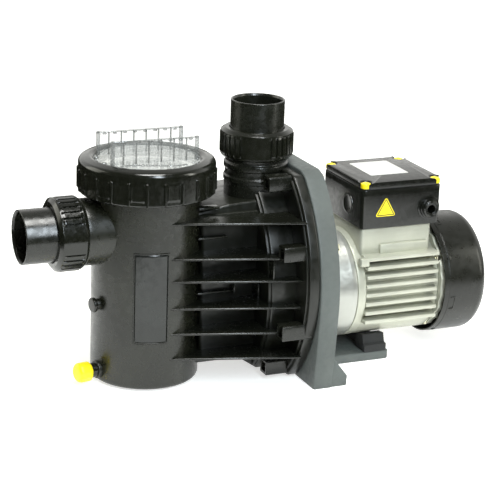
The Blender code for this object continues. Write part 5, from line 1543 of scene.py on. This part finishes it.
    def plate(self) -> Shell:
        """The blank name plate on the lid."""
        top = self.lid_z[1]
        return prism(soften(rectangle((87 * MM, -22 * MM), (138 * MM, 37 * MM)), 1.5 * MM, 3),
                     top - 0.3 * MM, top + 0.35 * MM, 0.1 * MM, 1)

    def cap(self) -> Shell:
        """A corner screw: a domed yellow cap with a driver slot ring and its shank."""
        low, high = self.lid_z
        radius = self.screw
        radii = [0, 0.3 * MM, 0.3 * MM, 3.4 * MM, 0.3 * MM, 0.2 * MM, 0, 0]
        return turned(soften([
            (0, high - 1.6 * MM), (1.8 * MM, high - 1.6 * MM), (2.2 * MM, high - 1 * MM),
            (radius, high - 1 * MM), (radius, low + 0.3 * MM), (2.2 * MM, low + 0.3 * MM),
            (2.2 * MM, low - 15 * MM), (0, low - 15 * MM)], radii, 5, False), 48)

    def gland(self) -> Shell:
        """The gland: hexagon base, fluted dome nut and open bore."""
        def hexagon(angle: Array, radius: Array, height: Array) -> Array:
            return -0.5 * MM * (radius > 11.4 * MM) * (0.5 - 0.5 * np.cos(6 * angle))

        def flutes(angle: Array, radius: Array, height: Array) -> Array:
            return -0.25 * MM * (radius > 10 * MM) * (0.5 + 0.5 * np.cos(16 * angle))
        base = mm((5.2, -9), (8, -9), (8, 0.3), (12.2, 0.3), (12.2, 4), (5.2, 4))
        nut = mm((5.2, 3.8), (10.6, 3.8), (10.6, 7.6), (8.6, 9), (7.4, 9), (6.9, 7.8), (5.2, 7.8))
        edges = [0, 0.4 * MM, 1.2 * MM, 0.8 * MM, 0.4 * MM, 0.3 * MM, 0.3 * MM]
        base = turned(soften(base, 0.5 * MM, 3), 96, hexagon)
        nut = turned(soften(nut, edges, 4), 192, flutes)
        return gathered([base, nut])


# ------------------------------------------------------------------ what stays as CAD
@dataclass
class InnerWorks:
    """The CAD nodes that stay as they are and only get their finishes."""

    finishes: dict = field(default_factory=lambda: {
        Finish.RUBBER: ("casing_oring", "lid_oring", "suction_oring", "discharge_oring", "drain_oring",
                        "water_slinger", "terminal_gasket"),
        Finish.INNER: ("seal_plate", "diffuser", "impeller", "cooling_fan"),
        Finish.STEEL: ("motor_shaft", "impeller_nut", "seal_spring", "front_bearing_inner",
                       "front_bearing_outer", "front_bearing_cage", "rear_bearing_inner",
                       "rear_bearing_outer", "rear_bearing_cage"),
        Finish.LAMINATED: ("rotor_core", "stator_core"),
        Finish.COPPER: ("front_winding", "rear_winding"),
        Finish.BASKET: ("terminal_block", "run_capacitor"),
        Finish.CERAMIC: ("seal_seat",),
        Finish.CARBON: ("seal_face",),
    })

    def build(self) -> None:
        """Gives each node its material."""
        for finish, nodes in self.finishes.items():
            for name in nodes:
                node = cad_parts[name]
                if not node.data.materials:
                    node.data.materials.append(finish.material())
                for slot in node.material_slots:
                    slot.material = finish.material()
                log.info("%s: CAD node in %s", name, finish.name.lower())


# ------------------------------------------------------------------ studio
@dataclass
class Studio:
    """The pale floor, the soft lights and the camera."""

    azimuth: float = math.radians(24)
    elevation: float = math.radians(17.4)
    roll: float = math.radians(2.0)
    target: tuple = (-58.5 * MM, 0.0, 139.9 * MM)
    distance: float = 2147.3 * MM
    lens: float = 129.7
    near_floor: float = 0.72
    far_floor: float = 9.0

    def build(self) -> None:
        """Makes everything that isn't the pump."""
        self.floors()
        self.world()
        self.lights()
        self.camera()
        bpy.context.scene.view_settings.view_transform = "Standard"

    def axes(self) -> tuple:
        """The camera's forward, right and up directions, before it rolls."""
        a, e = self.azimuth, self.elevation
        ahead = np.array([math.sin(a) * math.cos(e), math.cos(a) * math.cos(e), -math.sin(e)])
        right = np.array([math.cos(a), -math.sin(a), 0.0])
        return ahead, right, np.cross(right, ahead)

    def camera(self) -> None:
        """The camera at the pump's three-quarter view."""
        ahead, right, up = self.axes()
        cos, sin = math.cos(self.roll), math.sin(self.roll)
        data = bpy.data.cameras.new("camera")
        data.lens, data.sensor_width = self.lens, 36.0
        data.clip_start, data.clip_end = 0.05, 60.0
        made = bpy.data.objects.new("camera", data)
        bpy.context.scene.collection.objects.link(made)
        matrix = np.eye(4)
        matrix[:3, 0] = right * cos + up * sin
        matrix[:3, 1] = up * cos - right * sin
        matrix[:3, 2] = -ahead
        matrix[:3, 3] = np.array(self.target) - self.distance * ahead
        made.matrix_world = Matrix(matrix.tolist())
        bpy.context.scene.camera = made

    def floors(self) -> None:
        """A near disc that the pump mirrors, and a far ring that it doesn't."""
        near = turned([(0, 0), (self.near_floor, 0), (self.near_floor, -2 * MM), (0, -2 * MM)])
        far = turned([(self.near_floor, -2 * MM), (self.near_floor, 0), (self.far_floor, 0),
                      (self.far_floor, -2 * MM)])
        paper = self.paper()
        for name, shell, mirrored in (("floor_near", near, True), ("floor_far", far, False)):
            made = meshed(name, shell, 30)
            made.data.materials.append(paper)
            made.visible_glossy = mirrored

    def paper(self) -> bpy.types.Material:
        """White paper with a faint grain that glows a little, so that shadows stay light."""
        sheet = Sheet("white_paper")
        fibre = sheet.spread(sheet.noise(30.0), 0, 1)
        sheet.join(sheet.blend(fibre, (0.80, 0.805, 0.79), (0.82, 0.825, 0.81)),
                   sheet.shader.inputs["Base Color"])
        sheet.set(Roughness=1.0, Specular_IOR_Level=0.0, Emission_Color=(1.0, 1.0, 0.985, 1),
                  Emission_Strength=0.62)
        return sheet.material

    def world(self) -> None:
        """A backdrop that is bright behind the pump, dim on the camera's side and dark below the horizon."""
        world = bpy.data.worlds.new("studio")
        bpy.context.scene.world = world
        world.use_nodes = True
        tree = world.node_tree
        place = tree.nodes.new("ShaderNodeTexCoord")
        split = tree.nodes.new("ShaderNodeSeparateXYZ")
        ramp = tree.nodes.new("ShaderNodeValToRGB")
        tree.links.new(place.outputs["Generated"], split.inputs["Vector"])
        tree.links.new(split.outputs["Z"], ramp.inputs["Fac"])
        ramp.color_ramp.elements[0].position = 0.0
        ramp.color_ramp.elements[0].color = (0.02, 0.02, 0.015, 1)
        ramp.color_ramp.elements[1].position = 0.04
        ramp.color_ramp.elements[1].color = (1.0, 1.0, 0.96, 1)
        for position, level in ((0.45, 1.0), (0.75, 0.35)):
            element = ramp.color_ramp.elements.new(position)
            element.color = (level, level, level * 0.97, 1)
        behind = tree.nodes.new("ShaderNodeVectorMath")
        behind.operation = "DOT_PRODUCT"
        behind.inputs[1].default_value = (math.sin(self.azimuth), math.cos(self.azimuth), 0)
        share = tree.nodes.new("ShaderNodeMapRange")
        share.interpolation_type = "SMOOTHSTEP"
        for key, value in (("From Min", -0.25), ("From Max", 0.45), ("To Min", 0.08), ("To Max", 1.25)):
            share.inputs[key].default_value = value
        tree.links.new(place.outputs["Generated"], behind.inputs[0])
        tree.links.new(behind.outputs["Value"], share.inputs["Value"])
        tree.links.new(ramp.outputs["Color"], tree.nodes["Background"].inputs["Color"])
        tree.links.new(share.outputs["Result"], tree.nodes["Background"].inputs["Strength"])

    def lamp(self, name: str, turn: float, height: float, distance: float, size: tuple, power: float,
             colour: tuple) -> None:
        """A soft rectangular lamp that faces the pump.

        Args:
            name: Its name.
            turn: Degrees to the right of the camera, seen from the pump.
            height: Degrees above the floor.
            distance: Metres from the pump.
            size: Its width and height in metres.
            power: Watts.
            colour: Its colour.
        """
        a = self.azimuth - math.radians(turn)
        e = math.radians(height)
        back = np.array([-math.sin(a) * math.cos(e), -math.cos(a) * math.cos(e), math.sin(e)])
        data = bpy.data.lights.new(name, "AREA")
        data.shape, data.size, data.size_y = "RECTANGLE", size[0], size[1]
        data.energy, data.color = power, colour
        made = bpy.data.objects.new(name, data)
        bpy.context.scene.collection.objects.link(made)
        place = np.array(self.target) + back * distance
        side = np.cross((0, 0, 1), back)
        side /= np.linalg.norm(side)
        matrix = np.eye(4)
        matrix[:3, 0], matrix[:3, 1], matrix[:3, 2], matrix[:3, 3] = side, np.cross(back, side), back, place
        made.matrix_world = Matrix(matrix.tolist())
        made.visible_camera = False

    def lights(self) -> None:
        """A cool key near the camera, two warmer side panels and a broad top light."""
        self.lamp("key", 20, 34, 2.2, (0.42, 1.3), 40, (0.84, 0.93, 1.0))
        self.lamp("left_panel", -96, 22, 2.2, (1.3, 1.6), 14, (1.0, 1.0, 0.86))
        self.lamp("right_panel", 80, 20, 2.4, (0.5, 1.5), 16, (1.0, 1.0, 0.90))
        self.lamp("top", 10, 76, 2.2, (0.9, 0.9), 48, (1.0, 1.0, 0.97))


def main() -> None:
    """Builds every sub-assembly in order, then the studio."""
    low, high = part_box("lid_ring")
    tank_x = (low[0] + high[0]) / 2
    tank = StrainerTank(tank_x)
    tank.build()
    StrainerBasket(tank_x).build()
    TankLid(tank_x).build()
    LidRing(tank_x).build()
    drain = TankPlug(tank.plug_place(DRAIN_Z), 11.8 * MM, 17.6 * MM, 6 * MM, 11.1 * MM, collar=8.6 * MM)
    put("drain_plug_knob", drain.knob(), Finish.YELLOW, "drain", "yellow_plastic", "drain_plug")
    put("drain_plug_neck", drain.neck(), Finish.GLOSS, "drain", "yellow_plastic")
    side = TankPlug(tank.plug_place(SIDE_Z), 8.6 * MM, 4.6 * MM, 3.5 * MM, 4.6 * MM, 0, collar=6 * MM)
    put("side_plug_knob", gathered([side.knob(), side.neck()]), Finish.GLOSS, "side", "nut_plastic",
        "side_plug")
    casing = PumpCasing(tank_x)
    Union("suction", Toward.MINUS_X.at(tank.port_x, 0, tank.port_z), 70 * MM,
          phase=math.radians(59)).build()
    Union("discharge", Toward.UP.at(casing.discharge_x, 0, casing.port_z), 67 * MM,
          phase=math.radians(29)).build()
    casing.build()
    FlangePlate().build(casing.sites())
    Motor().build()
    TerminalBox().build()
    InnerWorks().build()
    Studio().build()


if __name__ == "__main__":
    main()
